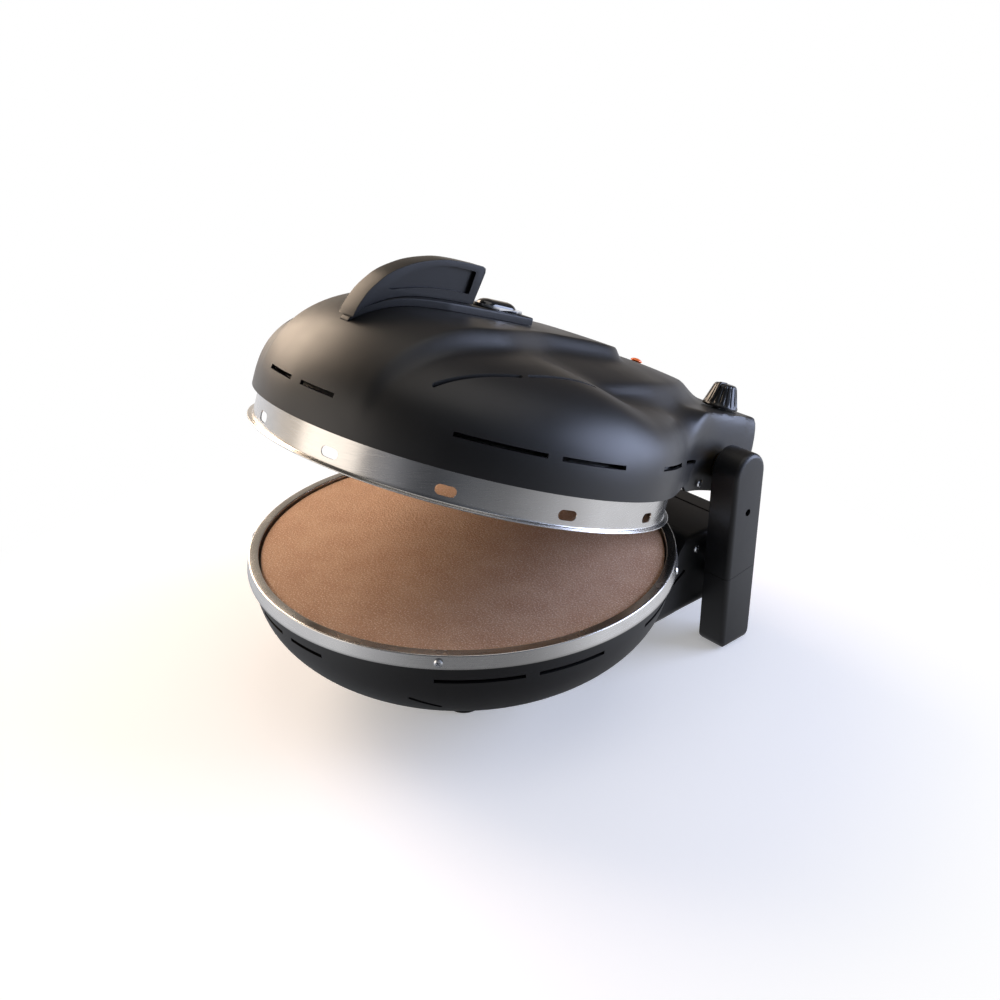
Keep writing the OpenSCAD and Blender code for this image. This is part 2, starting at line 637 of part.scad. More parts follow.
// Loop round the rim of a skin
function rim_loop(m, n) = concat([0], [for (j = [1 : m - 1]) at(j, n - 1, n)],
    [for (i = [n - 2 : -1 : 1]) at(m - 1, i, n)], [for (j = [m - 1 : -1 : 1]) at(j, 0, n)]);
module lid_skin() {
    m = len(lid_rows);
    mi = (m + 1) / 2;
    ni = (row_n + 1) / 2;
    inner = [for (j = [0 : mi - 1]) each [for (i = [0 : (j == 0 ? 0 : ni - 1)]) inner_point(2 * j, 2 * i)]];
    s = len(lid_points);
    a = rim_loop(m, row_n);
    b = rim_loop(mi, ni);
    k = len(b);
    faces = concat(skin_faces(m, row_n), [for (f = skin_faces(mi, ni)) [s + f[0], s + f[2], s + f[1]]],
        [for (i = [0 : k - 1]) let (p = a[2 * i], q = a[2 * i + 1], r = a[(2 * i + 2) % (2 * k)],
            t = s + b[i], u = s + b[(i + 1) % k]) each [[p, q, t], [q, u, t], [q, r, u]]]);
    polyhedron(concat(lid_points, inner), faces);
}
lid_slot_z = 49;
// Ends of the slots over the shoulder: angle from the front, inset from the lid's edge
shoulder_slots = [[[35.9, 14.7], [57.6, 38.3]], [[60.7, 41.1], [88, 49.4]]];
// Ends of the slot where the dome meets the neck
junction_slot = [[lid_r - 39.5, lid_r - 51.5, lid_edge_z + 20],
    [lid_r - 55.5, lid_r - 21.5, lid_edge_z + 17.5]];
bush_r = pin_d / 2 + 4;
fin_front = fin_set - lid_r;
fin_back = fin_front + fin_l;
frame_back = fin_back + 52;
handle_screw_y = [fin_front + 24, fin_back - 20];
window_y = fin_back + 28;
window_half = [10.5, 19];
lamp_hole_r = lamp_d / 2 - 1;
module lid_slots() {
    for (s = row_slots) hull() for (a = s)
        rotate([0, 0, a - 90]) x_rod(lid_r - 12, lid_r + 6, 0, lid_slot_z, half_slot, $fn = 16);
    for (s = shoulder_slots) hull() for (p = s)
        rotate([0, 0, p[0] - 90]) translate([lid_r - p[1], 0, 60]) cylinder(r = half_slot, h = 50, $fn = 16);
    hull() for (p = junction_slot)
        translate(p) rotate([0, 90, 25]) cylinder(r = half_slot, h = 24, center = true, $fn = 16);
}
// A bar with two round ends, half[0] wide and half[1] long each way, grown all round
module oval(half, grow, h) {
    l = half[1] - half[0];
    for (s = [-1, 1]) translate([0, s * l, 0]) cylinder(r = half[0] + grow, h = h);
    translate([-half[0] - grow, -l, 0]) cube([2 * (half[0] + grow), 2 * l, h]);
}
module lid_shell() {
    color("#2b2a2b") on_lid() difference() {
        lid_skin();
        both_sides() lid_slots();
        both_sides() x_rod(neck_half_w - 10, neck_half_w + 5, hinge_y, hinge_z, bush_r + 0.3, $fn = 32);
        both_sides()
            x_rod(neck_half_w - 10, neck_half_w + 5, lid_screw_at[0], lid_screw_at[1], screw_r, $fn = 16);
        translate([0, window_y, 90]) oval(window_half, 0.3, 40, $fn = 32);
        translate([0, lamp_y, lamp_z]) rotate([-lamp_tilt, 0, 0]) translate([0, 0, -20])
            cylinder(r = lamp_hole_r + 0.2, h = 40, $fn = 24);
        translate([knob_x, knob_y, 70]) cylinder(r = nut_r, h = 30, $fn = 24);
        for (y = handle_screw_y) translate([0, y, 80]) cylinder(r = 2.2, h = 50, $fn = 16);
    }
}
lid_screw_at = [hinge_y - 25, lid_neck_z + 6];
band_top = 38;
steam_hole_z = lip_z + 9;
module lid_steel_ring() {
    r = ring_r;
    s = ring_sheet;
    flange_r = lid_r - lid_wall - 1.6;
    cut = (steam_hole_l - steam_hole_h) / 2;
    color("#cfcecc") on_lid() difference() {
        rotate_extrude() polygon([
            [r - s, lip_z], [r + lip_w, lip_z], [r + lip_w, lip_z + lip_t], [r, lip_z + lip_t],
            [r, band_top - s], [flange_r, band_top - s], [flange_r, band_top], [r - s, band_top]]);
        for (i = [0 : steam_holes - 1]) rotate([0, 0, (i + 0.5) * 360 / steam_holes - 90]) {
            for (y = [-cut, cut]) x_rod(r - 6, r + 6, y, steam_hole_z, steam_hole_h / 2);
            translate([r - 6, -cut, steam_hole_z - steam_hole_h / 2]) cube([12, 2 * cut, steam_hole_h]);
        }
    }
}
upper_element_z = 46;
liner_sheet = 0.8;
liner_r = ring_r - ring_sheet;
liner_edge_z = 33;
liner_top_z = 76;
liner_h = liner_top_z - liner_edge_z;
function liner_profile(inset) = [for (t = [0 : 9 : 90])
    [(liner_r - inset) * pow(cos(t), 0.7), liner_edge_z + (liner_h - inset) * pow(sin(t), 0.9)]];
module lid_reflector() {
    outer = liner_profile(0);
    inner = liner_profile(liner_sheet);
    color("#c3c4c5") on_lid() difference() {
        rotate_extrude() polygon(concat(
            [[liner_r, 22]], outer, [for (i = [len(inner) - 1 : -1 : 0]) inner[i]],
            [[liner_r - liner_sheet, 22]]));
        both_sides() translate([lead_x, liner_r - 45, upper_element_z]) rotate([-90, 0, 0])
            cylinder(r = lead_hole_r, h = 60);
        translate([0, window_y, liner_top_z - 6]) cylinder(r = window_half[1] - 3, h = 12);
    }
}
module upper_heating_element() {
    color("#5a5d60") on_lid() element(upper_ring_d, upper_element_z, upper_lead_end);
}
module upper_element_terminals() {
    color("#e8e4da") on_lid() terminals(upper_element_z, upper_lead_end);
}
module upper_element_brackets() {
    x = upper_ring_d / 2 + 4;
    t = acos(pow(x / (liner_r - liner_sheet), 1 / 0.7));
    top = liner_edge_z + (liner_h - liner_sheet) * pow(sin(t), 0.9);
    foot = upper_element_z + element_r;
    color("#a8a9aa") on_lid() brackets(upper_ring_d, foot, top - 0.2, foot);
}
neck_cover_t = 2.5;
module lid_neck_cover() {
    w = neck_half_w - lid_wall - 0.6;
    front = lid_r - 41.5;
    color("#222224") on_lid() difference() {
        translate([0, 0, lid_neck_z]) intersection() {
            translate([-w, front, 0]) cube([2 * w, neck_back - lid_wall - 4 - front, neck_cover_t]);
            difference() {
                translate([0, 0, -1]) cylinder(r = 300, h = 10);
                translate([0, 0, -2]) cylinder(r = lid_r + 1, h = 12);
            }
        }
        for (x = [-60 : 20 : 60])
            translate([x - 2, hinge_y + 5, lid_neck_z - 1]) cube([4, 22, neck_cover_t + 2]);
    }
}
bracket_in = neck_half_w - lid_wall - 1.4;
module lid_hinge_brackets() {
    foot = lid_neck_z + neck_cover_t + 0.1;
    half = bush_r + 9;
    color("#9fa1a3") on_lid() both_sides() difference() {
        union() {
            x_slab(bracket_in - 3, bracket_in) translate([hinge_y - half, foot])
                square([2 * half, hinge_z + bush_r + 2.6 - foot]);
            translate([bracket_in - 22, hinge_y - half, foot]) cube([22, 2 * half, 3]);
        }
        x_rod(bracket_in - 5, bracket_in + 1, hinge_y, hinge_z, bush_r);
    }
}
module hinge_bushes() {
    inner = bracket_in - 3;
    flange = max(neck_half_w, lid_half_w(hinge_y - bush_r - 3)) + 0.1;
    color("#d8c48a") on_lid() both_sides() difference() {
        union() {
            x_rod(inner - 3, flange, hinge_y, hinge_z, bush_r);
            x_rod(flange, leg_in - washer_t - 0.3, hinge_y, hinge_z, bush_r + 3);
        }
        x_rod(inner - 5, leg_in, hinge_y, hinge_z, pin_d / 2 + pin_clearance);
    }
}
module lid_neck_screws() {
    on_lid() side_screws(lid_half_w(lid_screw_at[0] - 3) + 0.1, lid_screw_at[0], lid_screw_at[1]);
}

// ---- Handle and window ----
// Height of the lid's top along the middle line
function crown(y) = lid_top(0, y);
seat_gap = 0.2;
fin_base = [for (i = [0 : 10]) let (y = fin_front + fin_l * i / 10) [y, crown(y) + frame_h + seat_gap]];
// Side outline of the fin, with heights above the spine: a raked back, a crowned top and a swept-back
// leading edge
fin_h = 33.8;
fin_edge = concat([[fin_back - 1.5, 8.5], [fin_back + 2.5, 30.5], [fin_back + 0.5, fin_h]],
    [for (p = [[84, fin_h], [72, 33.3], [60, 31.7], [43, 27.2], [31, 22], [20, 15.5], [12, 8], [6, 0],
        [2, -9.5]]) [fin_front + p[0], p[1]]]);
fin_hull = concat([[fin_front - 2, -53.5], [fin_back - 12.8, -53.5]], fin_edge);
fin_panel = concat([[fin_back - 8, 12.5], [fin_back - 6, 29]],
    [for (p = [[72, 29], [56, 26], [40, 20], [28, 12.5], [20, 4.5], [36, 8], [52, 11], [72, 12.8]])
        [fin_front + p[0], p[1]]]);
module handle_fin() {
    t = fin_t / 2;
    color("#1f2126") on_lid() difference() {
        translate([0, 0, spine_z]) hull() {
            x_slab(-t + 2.5, t - 2.5) polygon(fin_hull);
            x_slab(-t + 0.8, t - 0.8) offset(delta = -0.8) polygon(fin_hull);
            x_slab(-t, t) offset(delta = -2.2) polygon(fin_hull);
        }
        x_slab(-t - 1, t + 1) polygon(concat(fin_base,
            [[fin_back + 30, 119], [fin_back + 30, 40], [fin_front - 20, 40], [fin_front - 20, 90]]));
        both_sides() translate([0, 0, spine_z]) x_slab(t - panel_depth, t + 1) polygon(fin_panel);
        for (y = handle_screw_y) translate([0, y, 80]) cylinder(r = 1.7, h = crown(y) + frame_h - 68);
    }
}
// Plan of the base frame: narrow under the nose, then parallel
function frame_plan(y) = min(frame_half_w, 4.5 + (y - fin_front) * 0.17);
frame_steps = [for (i = [0 : 15]) fin_front - 2 + (frame_back - fin_front + 2) * i / 15];
module handle_frame() {
    side = concat([for (y = frame_steps) [y, crown(y) + seat_gap]],
        [for (i = [15 : -1 : 1]) [frame_steps[i], crown(frame_steps[i]) + frame_h]]);
    plan = concat([for (y = frame_steps) [frame_plan(y), y]],
        [for (i = [15 : -1 : 0]) [-frame_plan(frame_steps[i]), frame_steps[i]]]);
    color("#1f2126") on_lid() difference() {
        intersection() {
            x_slab(-frame_half_w, frame_half_w) polygon(side);
            translate([0, 0, 60]) linear_extrude(80) polygon(plan);
        }
        translate([0, window_y, 90]) oval(window_half, 1.2, 60);
        for (y = handle_screw_y) translate([0, y, 80]) cylinder(r = 1.7, h = 50);
    }
}
seal_t = 2;
window_z = spine_z + frame_h + 0.1;
module window_seal() {
    color("#c8c9cb") on_lid() translate([0, window_y, 0]) difference() {
        union() {
            translate([0, 0, window_z - 4]) oval(window_half, 1, 4.2);
            translate([0, 0, window_z + 0.2]) oval(window_half, 3, seal_t);
        }
        translate([0, 0, window_z - 6]) oval(window_half, -1.5, 20);
    }
}
module window_glass() {
    r = window_half[0] - 1.65;
    l = window_half[1] - window_half[0];
    z = window_z + 0.2 + seal_t;
    color("#3a3a3c") on_lid() translate([0, window_y, 0]) hull() for (s = [-1, 1], k = [0 : 4])
        translate([0, s * l, window_z - 4])
            cylinder(r = r * cos(k * 20) + 0.01, h = z - window_z + 3 + 5 * sin(k * 20), $fn = 32);
}

// ---- Lamp, thermostat and knob ----
lamp_y = hinge_y - lamp_front;
lamp_z = lid_top(0, lamp_y);
lamp_tilt = atan((lid_top(0, lamp_y - 4) - lid_top(0, lamp_y + 4)) / 8);
module lamp_lens() {
    r = lamp_d / 2;
    dome = concat([[0, -3], [lamp_hole_r, -3], [lamp_hole_r, 0]],
        [for (t = [0 : 10 : 90]) [r * cos(t), 0.6 + lamp_rise * sin(t)]]);
    color("#ff6a1a") on_lid() translate([0, lamp_y, lamp_z]) rotate([-lamp_tilt, 0, 0])
        translate([0, 0, 0.2]) rotate_extrude() polygon(dome);
}
module lamp_holder() {
    color("#e8e4da") on_lid() translate([0, lamp_y, lamp_z]) rotate([-lamp_tilt, 0, 0]) translate([0, 0, -15])
        cylinder(r = lamp_hole_r + 1.5, h = 11.5);
}
nut_r = 5;
knob_x = neck_half_w - knob_inset;
knob_y = hinge_y + knob_back;
panel_z = lid_top(knob_x, knob_y);
knob_edge = [for (a = [0 : 15 : 345]) lid_top(knob_x + knob_d / 2 * cos(a), knob_y + knob_d / 2 * sin(a))];
knob_z = max(panel_z, max(knob_edge)) + knob_gap;
shaft_r = shaft_d / 2;
module thermostat() {
    z = panel_z - lid_wall - 0.4;
    color("#b9babb") on_lid() translate([knob_x, knob_y, 0]) difference() {
        union() {
            translate([0, 0, z - 24]) cylinder(r = 15, h = 20);
            translate([0, 0, z - 4]) cylinder(r = 10, h = 3.8);
            translate([0, 0, z - 1]) cylinder(r = nut_r - 0.3, h = lid_wall + 2.5);
        }
        translate([0, 0, z - 16]) cylinder(r = shaft_r + 0.06, h = 40);
    }
}
module thermostat_nut() {
    z = panel_z + 0.3;
    color("#d5d6d8") on_lid() translate([knob_x, knob_y, z]) difference() {
        cylinder(r = nut_r + 2, h = 1.5, $fn = 6);
        translate([0, 0, -1]) cylinder(r = nut_r - 0.3, h = 4);
    }
}
module thermostat_shaft() {
    z = panel_z - lid_wall - 0.4 - 15.5;
    color("#c4c5c7") on_lid() translate([knob_x, knob_y, z])
        cylinder(r = shaft_r, h = panel_z + 14 - z);
}
module control_knob() {
    r = knob_d / 2;
    flute_lean = atan((knob_taper - 0.8) / (knob_h - 5.5));
    color("#1b1b1d") on_lid() translate([knob_x, knob_y, knob_z]) difference() {
        union() {
            rotate_extrude() polygon([[0, 0], [r, 0], [r, 1.5], [r - 0.8, 3],
                [r - knob_taper, knob_h - 2.5], [r - knob_taper - 1.2, knob_h - 0.6],
                [r - knob_taper - 2.6, knob_h], [0, knob_h]]);
            x_slab(-1.5, 1.5) polygon([[0, knob_h - 2], [0, knob_h + 1], [knob_taper + 1.8 - r, knob_h + 1],
                [knob_taper - 0.6 - r, knob_h - 2], [0.6 - r, 3.4], [0.6 - r, 1.5], [4 - r, 1.5]]);
        }
        for (i = [0 : knob_flutes - 1]) rotate([0, 0, (i + 0.5) * 360 / knob_flutes + 90])
            translate([r + 0.9, 0, 3]) rotate([0, -flute_lean, 0]) cylinder(r = 1.4, h = knob_h + 4);
        translate([0, 0, -1]) cylinder(r = nut_r + 3, h = 4);
        cylinder(r = shaft_r, h = 13.4);
    }
}

lower_shell();
lower_steel_rim();
pizza_stone();
lower_reflector_pan();
lower_heating_element();
lower_element_brackets();
lower_element_terminals();
neck_deck_cover();
terminal_block();
cord_gland();
left_leg();
right_leg();
left_leg_foot();
right_leg_foot();
leg_pads();
leg_inner_plates();
leg_spacers();
leg_bolts();
leg_cover_screws();
hinge_pins();
hinge_washers();
front_feet();
rim_screws();
lower_neck_screws();
lid_shell();
lid_steel_ring();
lid_reflector();
upper_heating_element();
upper_element_brackets();
upper_element_terminals();
lid_neck_cover();
lid_hinge_brackets();
hinge_bushes();
lid_neck_screws();
handle_fin();
handle_frame();
window_seal();
window_glass();
lamp_lens();
lamp_holder();
thermostat();
thermostat_nut();
control_knob();
thermostat_shaft();
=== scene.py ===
import bpy, bmesh, json, math
import numpy as np
from mathutils import Vector, Matrix


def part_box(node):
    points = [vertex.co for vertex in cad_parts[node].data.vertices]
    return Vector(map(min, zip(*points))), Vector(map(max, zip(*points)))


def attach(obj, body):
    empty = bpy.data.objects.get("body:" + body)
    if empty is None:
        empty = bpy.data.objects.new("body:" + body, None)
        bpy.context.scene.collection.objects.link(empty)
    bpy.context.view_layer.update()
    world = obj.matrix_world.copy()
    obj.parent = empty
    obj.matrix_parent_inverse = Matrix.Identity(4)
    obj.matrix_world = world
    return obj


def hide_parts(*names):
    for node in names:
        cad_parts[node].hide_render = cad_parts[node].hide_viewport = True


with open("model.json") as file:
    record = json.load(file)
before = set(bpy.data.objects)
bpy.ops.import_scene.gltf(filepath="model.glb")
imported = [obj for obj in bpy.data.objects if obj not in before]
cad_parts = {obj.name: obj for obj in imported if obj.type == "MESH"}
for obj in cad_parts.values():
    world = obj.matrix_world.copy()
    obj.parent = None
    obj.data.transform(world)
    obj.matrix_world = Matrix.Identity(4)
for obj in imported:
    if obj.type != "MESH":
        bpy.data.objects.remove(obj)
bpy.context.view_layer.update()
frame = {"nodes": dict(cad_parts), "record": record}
nodes = frame["nodes"]
mm = 0.001  # one millimetre in metres
print("frame loaded:", len(nodes), "nodes")

# the lid is drawn closed, then turned open about the hinge pins
hinge = {"y": 187.0, "z": 41.5, "open": 19.6}  # millimetres and degrees, as in the solids
toOpen = (Matrix.Translation((0, hinge["y"] * mm, hinge["z"] * mm))
          @ Matrix.Rotation(math.radians(-hinge["open"]), 4, "X")
          @ Matrix.Translation((0, -hinge["y"] * mm, -hinge["z"] * mm)))


# materials
def linear(hexColour):
    values = [int(hexColour[i:i + 2], 16) / 255 for i in (1, 3, 5)]
    return [v / 12.92 if v <= 0.04045 else ((v + 0.055) / 1.055) ** 2.4 for v in values] + [1.0]


def addNode(tree, kind, settings=None, **links):
    node = tree.nodes.new(kind)
    for key, value in (settings or {}).items():
        if isinstance(key, str) and hasattr(node, key) and key not in node.inputs:
            setattr(node, key, value)
        else:
            node.inputs[key].default_value = value
    for key, source in links.items():
        name = key.replace("_", " ")
        target = node.inputs[int(key[1:])] if key[0] == "i" and key[1:].isdigit() else node.inputs[name]
        tree.links.new(source, target)
    return node


def newMaterial(name, **shader):
    mat = bpy.data.materials.new(name)
    mat.use_nodes = True
    tree = mat.node_tree
    tree.nodes.clear()
    bsdf = addNode(tree, "ShaderNodeBsdfPrincipled", {k.replace("_", " "): v for k, v in shader.items()})
    addNode(tree, "ShaderNodeOutputMaterial", Surface=bsdf.outputs[0])
    coords = addNode(tree, "ShaderNodeTexCoord").outputs["Object"]
    return mat, tree, bsdf, coords


def noise(tree, coords, size, detail=3.0, rough=0.5, stretch=(1, 1, 1)):
    # size is the grain's real size in metres
    vector = addNode(tree, "ShaderNodeMapping", {"Scale": [s / size for s in stretch]},
                     Vector=coords).outputs[0]
    return addNode(tree, "ShaderNodeTexNoise", {"Scale": 1.0, "Detail": detail, "Roughness": rough},
                   Vector=vector).outputs["Fac"]


def spread(tree, value, low, high, fromLow=0.3, fromHigh=0.7):
    limits = {"From Min": fromLow, "From Max": fromHigh, "To Min": low, "To Max": high}
    return addNode(tree, "ShaderNodeMapRange", limits, Value=value).outputs["Result"]


def tint(tree, value, dark, light):
    ramp = addNode(tree, "ShaderNodeValToRGB", Fac=value)
    ramp.color_ramp.elements[0].position, ramp.color_ramp.elements[1].position = 0.3, 0.7
    ramp.color_ramp.elements[0].color, ramp.color_ramp.elements[1].color = linear(dark), linear(light)
    return ramp.outputs["Color"]


def bump(tree, bsdf, height, depth, normal=None):
    # depth is the real height of the relief in metres
    node = addNode(tree, "ShaderNodeBump", {"Strength": 1.0, "Distance": depth}, Height=height)
    if normal:
        tree.links.new(normal, node.inputs["Normal"])
    tree.links.new(node.outputs[0], bsdf.inputs["Normal"])
    return node.outputs[0]


def mouldedPlastic(name, dark, light, rough, grain, relief, shine=0.55):
    # heat-resistant moulded plastic with a spark-eroded satin grain: soft wide highlights, faint cloudiness
    mat, tree, bsdf, coords = newMaterial(name, IOR=1.5, Specular_IOR_Level=shine)
    tree.links.new(tint(tree, noise(tree, coords, 0.06, 4), dark, light), bsdf.inputs["Base Color"])
    fine = noise(tree, coords, grain, 2, 0.6)
    cloud = noise(tree, coords, 0.035, 3)
    mixed = addNode(tree, "ShaderNodeMath", {"operation": "MULTIPLY_ADD", 1: 0.35}, i0=fine,
                    i2=cloud).outputs[0]
    tree.links.new(spread(tree, mixed, rough - 0.04, rough + 0.05, 0.4, 0.9), bsdf.inputs["Roughness"])
    bump(tree, bsdf, fine, relief)
    return mat


def brushedSteel(name, dark, light, rough, stretch, relief=2e-6):
    # stainless sheet, fine brushed round the appliance: bright, with faint streaks along the grain
    mat, tree, bsdf, coords = newMaterial(name, Metallic=1.0)
    streak = noise(tree, coords, 0.0006, 3, 0.65, stretch)
    cloud = noise(tree, coords, 0.05, 3)
    tree.links.new(tint(tree, cloud, dark, light), bsdf.inputs["Base Color"])
    mixed = addNode(tree, "ShaderNodeMath", {"operation": "MULTIPLY_ADD", 1: 0.5}, i0=cloud,
                    i2=streak).outputs[0]
    tree.links.new(spread(tree, mixed, rough - 0.05, rough + 0.07, 0.45, 1.05), bsdf.inputs["Roughness"])
    bump(tree, bsdf, streak, relief)
    return mat


def firedStone():
    # cordierite baking stone: pinkish brown, open-grained, with pale and dark specks of grog
    mat, tree, bsdf, coords = newMaterial("firedCordierite", Roughness=0.9, IOR=1.5)
    base = tint(tree, noise(tree, coords, 0.03, 5), "#ab8165", "#bb9478")
    specks = noise(tree, coords, 0.0011, 2, 0.5)
    grains = addNode(tree, "ShaderNodeMix", {"data_type": "RGBA", "blend_type": "MIX"}, i6=base,
                     i0=spread(tree, specks, 0, 0.75, 0.52, 0.66))
    grains.inputs[7].default_value = linear("#e2c8b2")
    pits = addNode(tree, "ShaderNodeTexVoronoi", {"Scale": 620.0, "feature": "F1"},
                   Vector=coords).outputs["Distance"]
    dark = addNode(tree, "ShaderNodeMix", {"data_type": "RGBA"}, i6=grains.outputs[2],
                   i0=spread(tree, pits, 0.55, 0, 0.1, 0.28))
    dark.inputs[7].default_value = linear("#6a5246")
    tree.links.new(dark.outputs[2], bsdf.inputs["Base Color"])
    bump(tree, bsdf, specks, 0.00012, bump(tree, bsdf, pits, 0.00025))
    return mat


def simple(name, dark, light, rough, grain=0.0012, relief=8e-6, metallic=0.0, **shader):
    mat, tree, bsdf, coords = newMaterial(name, Metallic=metallic, **shader)
    field = noise(tree, coords, grain, 3)
    tree.links.new(tint(tree, noise(tree, coords, 0.02, 4), dark, light), bsdf.inputs["Base Color"])
    tree.links.new(spread(tree, field, rough - 0.05, rough + 0.06), bsdf.inputs["Roughness"])
    bump(tree, bsdf, field, relief)
    return mat


finishes = {
    "black_plastic": mouldedPlastic("satinMouldedPlastic", "#0f0f10", "#141415", 0.42, 0.0005, 2.5e-6),
    "handle_plastic": mouldedPlastic("grainedHandlePlastic", "#0a0b0e", "#0e0f12", 0.4, 0.0006, 6e-6, 0.3),
    "knob_plastic": mouldedPlastic("semiGlossKnobPlastic", "#0b0b0d", "#101012", 0.3, 0.0009, 8e-7),
    "satin_steel": brushedSteel("satinStainlessSheet", "#c4c2bf", "#d2d0cd", 0.24, (0.02, 0.02, 1)),
    "bright_steel": brushedSteel("polishedPlatedSteel", "#cfd0d2", "#dcdcde", 0.16, (1, 1, 1), 1e-6),
    "bracket_steel": brushedSteel("zincPlatedBracketSteel", "#8e9092", "#a2a3a4", 0.38, (1, 0.05, 1)),
    "element_sheath": simple("heatDarkenedSheath", "#2f2c2a", "#4a4440", 0.45, 0.0015, 1e-5, 1.0),
    "reflector_aluminium": brushedSteel("rolledAluminiumLiner", "#a9a9a8", "#c0c0bf", 0.35, (0.03, 1, 1)),
    "cordierite_stone": firedStone(),
    "ceramic": simple("unglazedWhiteCeramic", "#dcd8cd", "#e8e4da", 0.7, 0.0008, 2e-5),
    "black_rubber": simple("matteBlackRubber", "#141414", "#1b1b1b", 0.75, 0.0009, 2e-5),
    "bush_brass": simple("machinedBrassBush", "#b89a5c", "#c9ac6e", 0.28, 0.0008, 3e-6, 1.0),
    "lamp_orange": simple("tintedLampLens", "#f2611a", "#ff7a2a", 0.14, 0.002, 2e-6, 0.0, IOR=1.49,
                          Coat_Weight=0.4),
    "dark_glass": simple("smokedOvenGlass", "#0d0e10", "#15171a", 0.05, 0.004, 1e-6, 0.0, IOR=1.52,
                         Coat_Weight=0.6),
}
slotOf = {part["node"]: part["material_slot"] for part in frame["record"]["subparts"]}
bodyOf = {name: body for body, names in frame["record"]["behaviour"]["bodies"].items() for name in names}
print("materials made:", len(finishes))


# mesh helpers
def pieceFrom(name, verts, faces):
    mesh = bpy.data.meshes.new(name)
    mesh.from_pydata([tuple(v) for v in verts], [], [tuple(f) for f in faces])
    obj = bpy.data.objects.new(name, mesh)
    bpy.context.scene.collection.objects.link(obj)
    return obj


def outward(obj, reach=1e-6, dissolve=False):
    bm = bmesh.new()
    bm.from_mesh(obj.data)
    bmesh.ops.remove_doubles(bm, verts=bm.verts, dist=reach)
    if dissolve:
        bmesh.ops.dissolve_degenerate(bm, edges=bm.edges, dist=reach)
    bmesh.ops.recalc_face_normals(bm, faces=bm.faces)
    bm.to_mesh(obj.data)
    bm.free()


def smooth(obj, angle=32):
    obj.data.polygons.foreach_set("use_smooth", [True] * len(obj.data.polygons))
    obj.data.set_sharp_from_angle(angle=math.radians(angle))


def revolve(name, profile, steps=192):
    # closed profile of (radius, height) pairs in millimetres, turned about the Z axis
    verts, faces, n = [], [], len(profile)
    for k in range(steps):
        a = 2 * math.pi * k / steps
        verts += [(r * math.cos(a) * mm, r * math.sin(a) * mm, z * mm) for r, z in profile]
    for k in range(steps):
        for i in range(n):
            a, b = k * n, ((k + 1) % steps) * n
            faces.append((a + i, b + i, b + (i + 1) % n, a + (i + 1) % n))
    obj = pieceFrom(name, verts, faces)
    outward(obj)
    return obj


def bar(name, verts):
    # a closed bar from two rings of as many points
    n = len(verts) // 2
    sides = [(i, (i + 1) % n, n + (i + 1) % n, n + i) for i in range(n)]
    obj = pieceFrom(name, verts, [tuple(range(n)), tuple(range(n, 2 * n))] + sides)
    outward(obj)
    return obj


def prism(name, outline, low, high, axis="x"):
    # outline in millimetres: Y and Z for axis x, X and Z for axis y, X and Y for axis z
    order = {"x": (2, 0, 1), "y": (0, 2, 1), "z": (0, 1, 2)}[axis]
    verts = [tuple((p[0], p[1], t)[k] * mm for k in order) for t in (low, high) for p in outline]
    return bar(name, verts)


def baked(obj):
    # puts the mesh that the modifiers make in place of the modifiers
    mesh = bpy.data.meshes.new_from_object(obj.evaluated_get(bpy.context.evaluated_depsgraph_get()))
    obj.modifiers.clear()
    obj.data = mesh


def boolean(obj, cutters, operation="DIFFERENCE"):
    for cutter in cutters:
        mod = obj.modifiers.new("cut", "BOOLEAN")
        mod.operation, mod.object, mod.solver = operation, cutter, "EXACT"
    baked(obj)
    for cutter in cutters:
        bpy.data.objects.remove(cutter)
    return obj


def arc(x, y, r, a, b, n):
    return [(x + r * math.cos(math.radians(a + (b - a) * i / n)),
             y + r * math.sin(math.radians(a + (b - a) * i / n))) for i in range(n + 1)]


def rounded(points, radius, steps=6):
    # rounds every corner of a closed outline
    out, n = [], len(points)
    for i in range(n):
        p, q, r = (Vector(points[(i + k) % n]) for k in (-1, 0, 1))
        u, v = (p - q), (r - q)
        cut = min(radius, 0.45 * u.length, 0.45 * v.length)
        start, end = q + u.normalized() * cut, q + v.normalized() * cut
        for k in range(steps + 1):
            t = k / steps
            out.append(tuple((1 - t) ** 2 * start + 2 * t * (1 - t) * q + t * t * end))
    return out


def bevelled(obj, width, segments=3, angle=30):
    mod = obj.modifiers.new("edge", "BEVEL")
    mod.width, mod.segments = width * mm, segments
    mod.limit_method, mod.angle_limit = "ANGLE", math.radians(angle)
    baked(obj)


def finish(obj, slotName, body, replaced=(), angle=32):
    obj.data.materials.clear()
    obj.data.materials.append(finishes[slotName])
    smooth(obj, angle)
    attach(obj, body)
    if replaced:
        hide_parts(*replaced)
    return obj


# lid skin
lid = {"radius": 161.5, "edge": 26.5, "neckEdge": 19.5, "shoulder": 105.0, "deck": 82.0, "terrace": 106.0,
       "spine": 113.5, "spineFront": 58.0, "spineBack": 34.0, "spineEnd": 119.0, "neckHalf": 98.0,
       "back": 231.0, "corner": 8.0, "wall": 2.5, "slotHeight": 49.0, "slotWidth": 3.0,
       "shoulderBlend": 20.0, "neckBlend": 42.0, "footprintBlend": 44.0}


def smoothStep(t):
    c = np.clip(t, 0, 1)
    return c * c * (3 - 2 * c)


def softMax(a, b, r):
    d = np.maximum(r - abs(a - b), 0) / r
    return np.maximum(a, b) + d * d * r / 4


def rampUp(e, r):
    e = np.maximum(e, 0)
    return e * e / (e + r)


def domeInset(x, y):
    return lid["radius"] - np.hypot(x, y)


def neckInset(x, y):
    c = lid["corner"]
    qx, qy = abs(x) - lid["neckHalf"] + c, y - lid["back"] + c
    outside = np.hypot(np.maximum(qx, 0), np.maximum(qy, 0))
    return np.minimum(y, c - outside - np.minimum(np.maximum(qx, qy), 0))


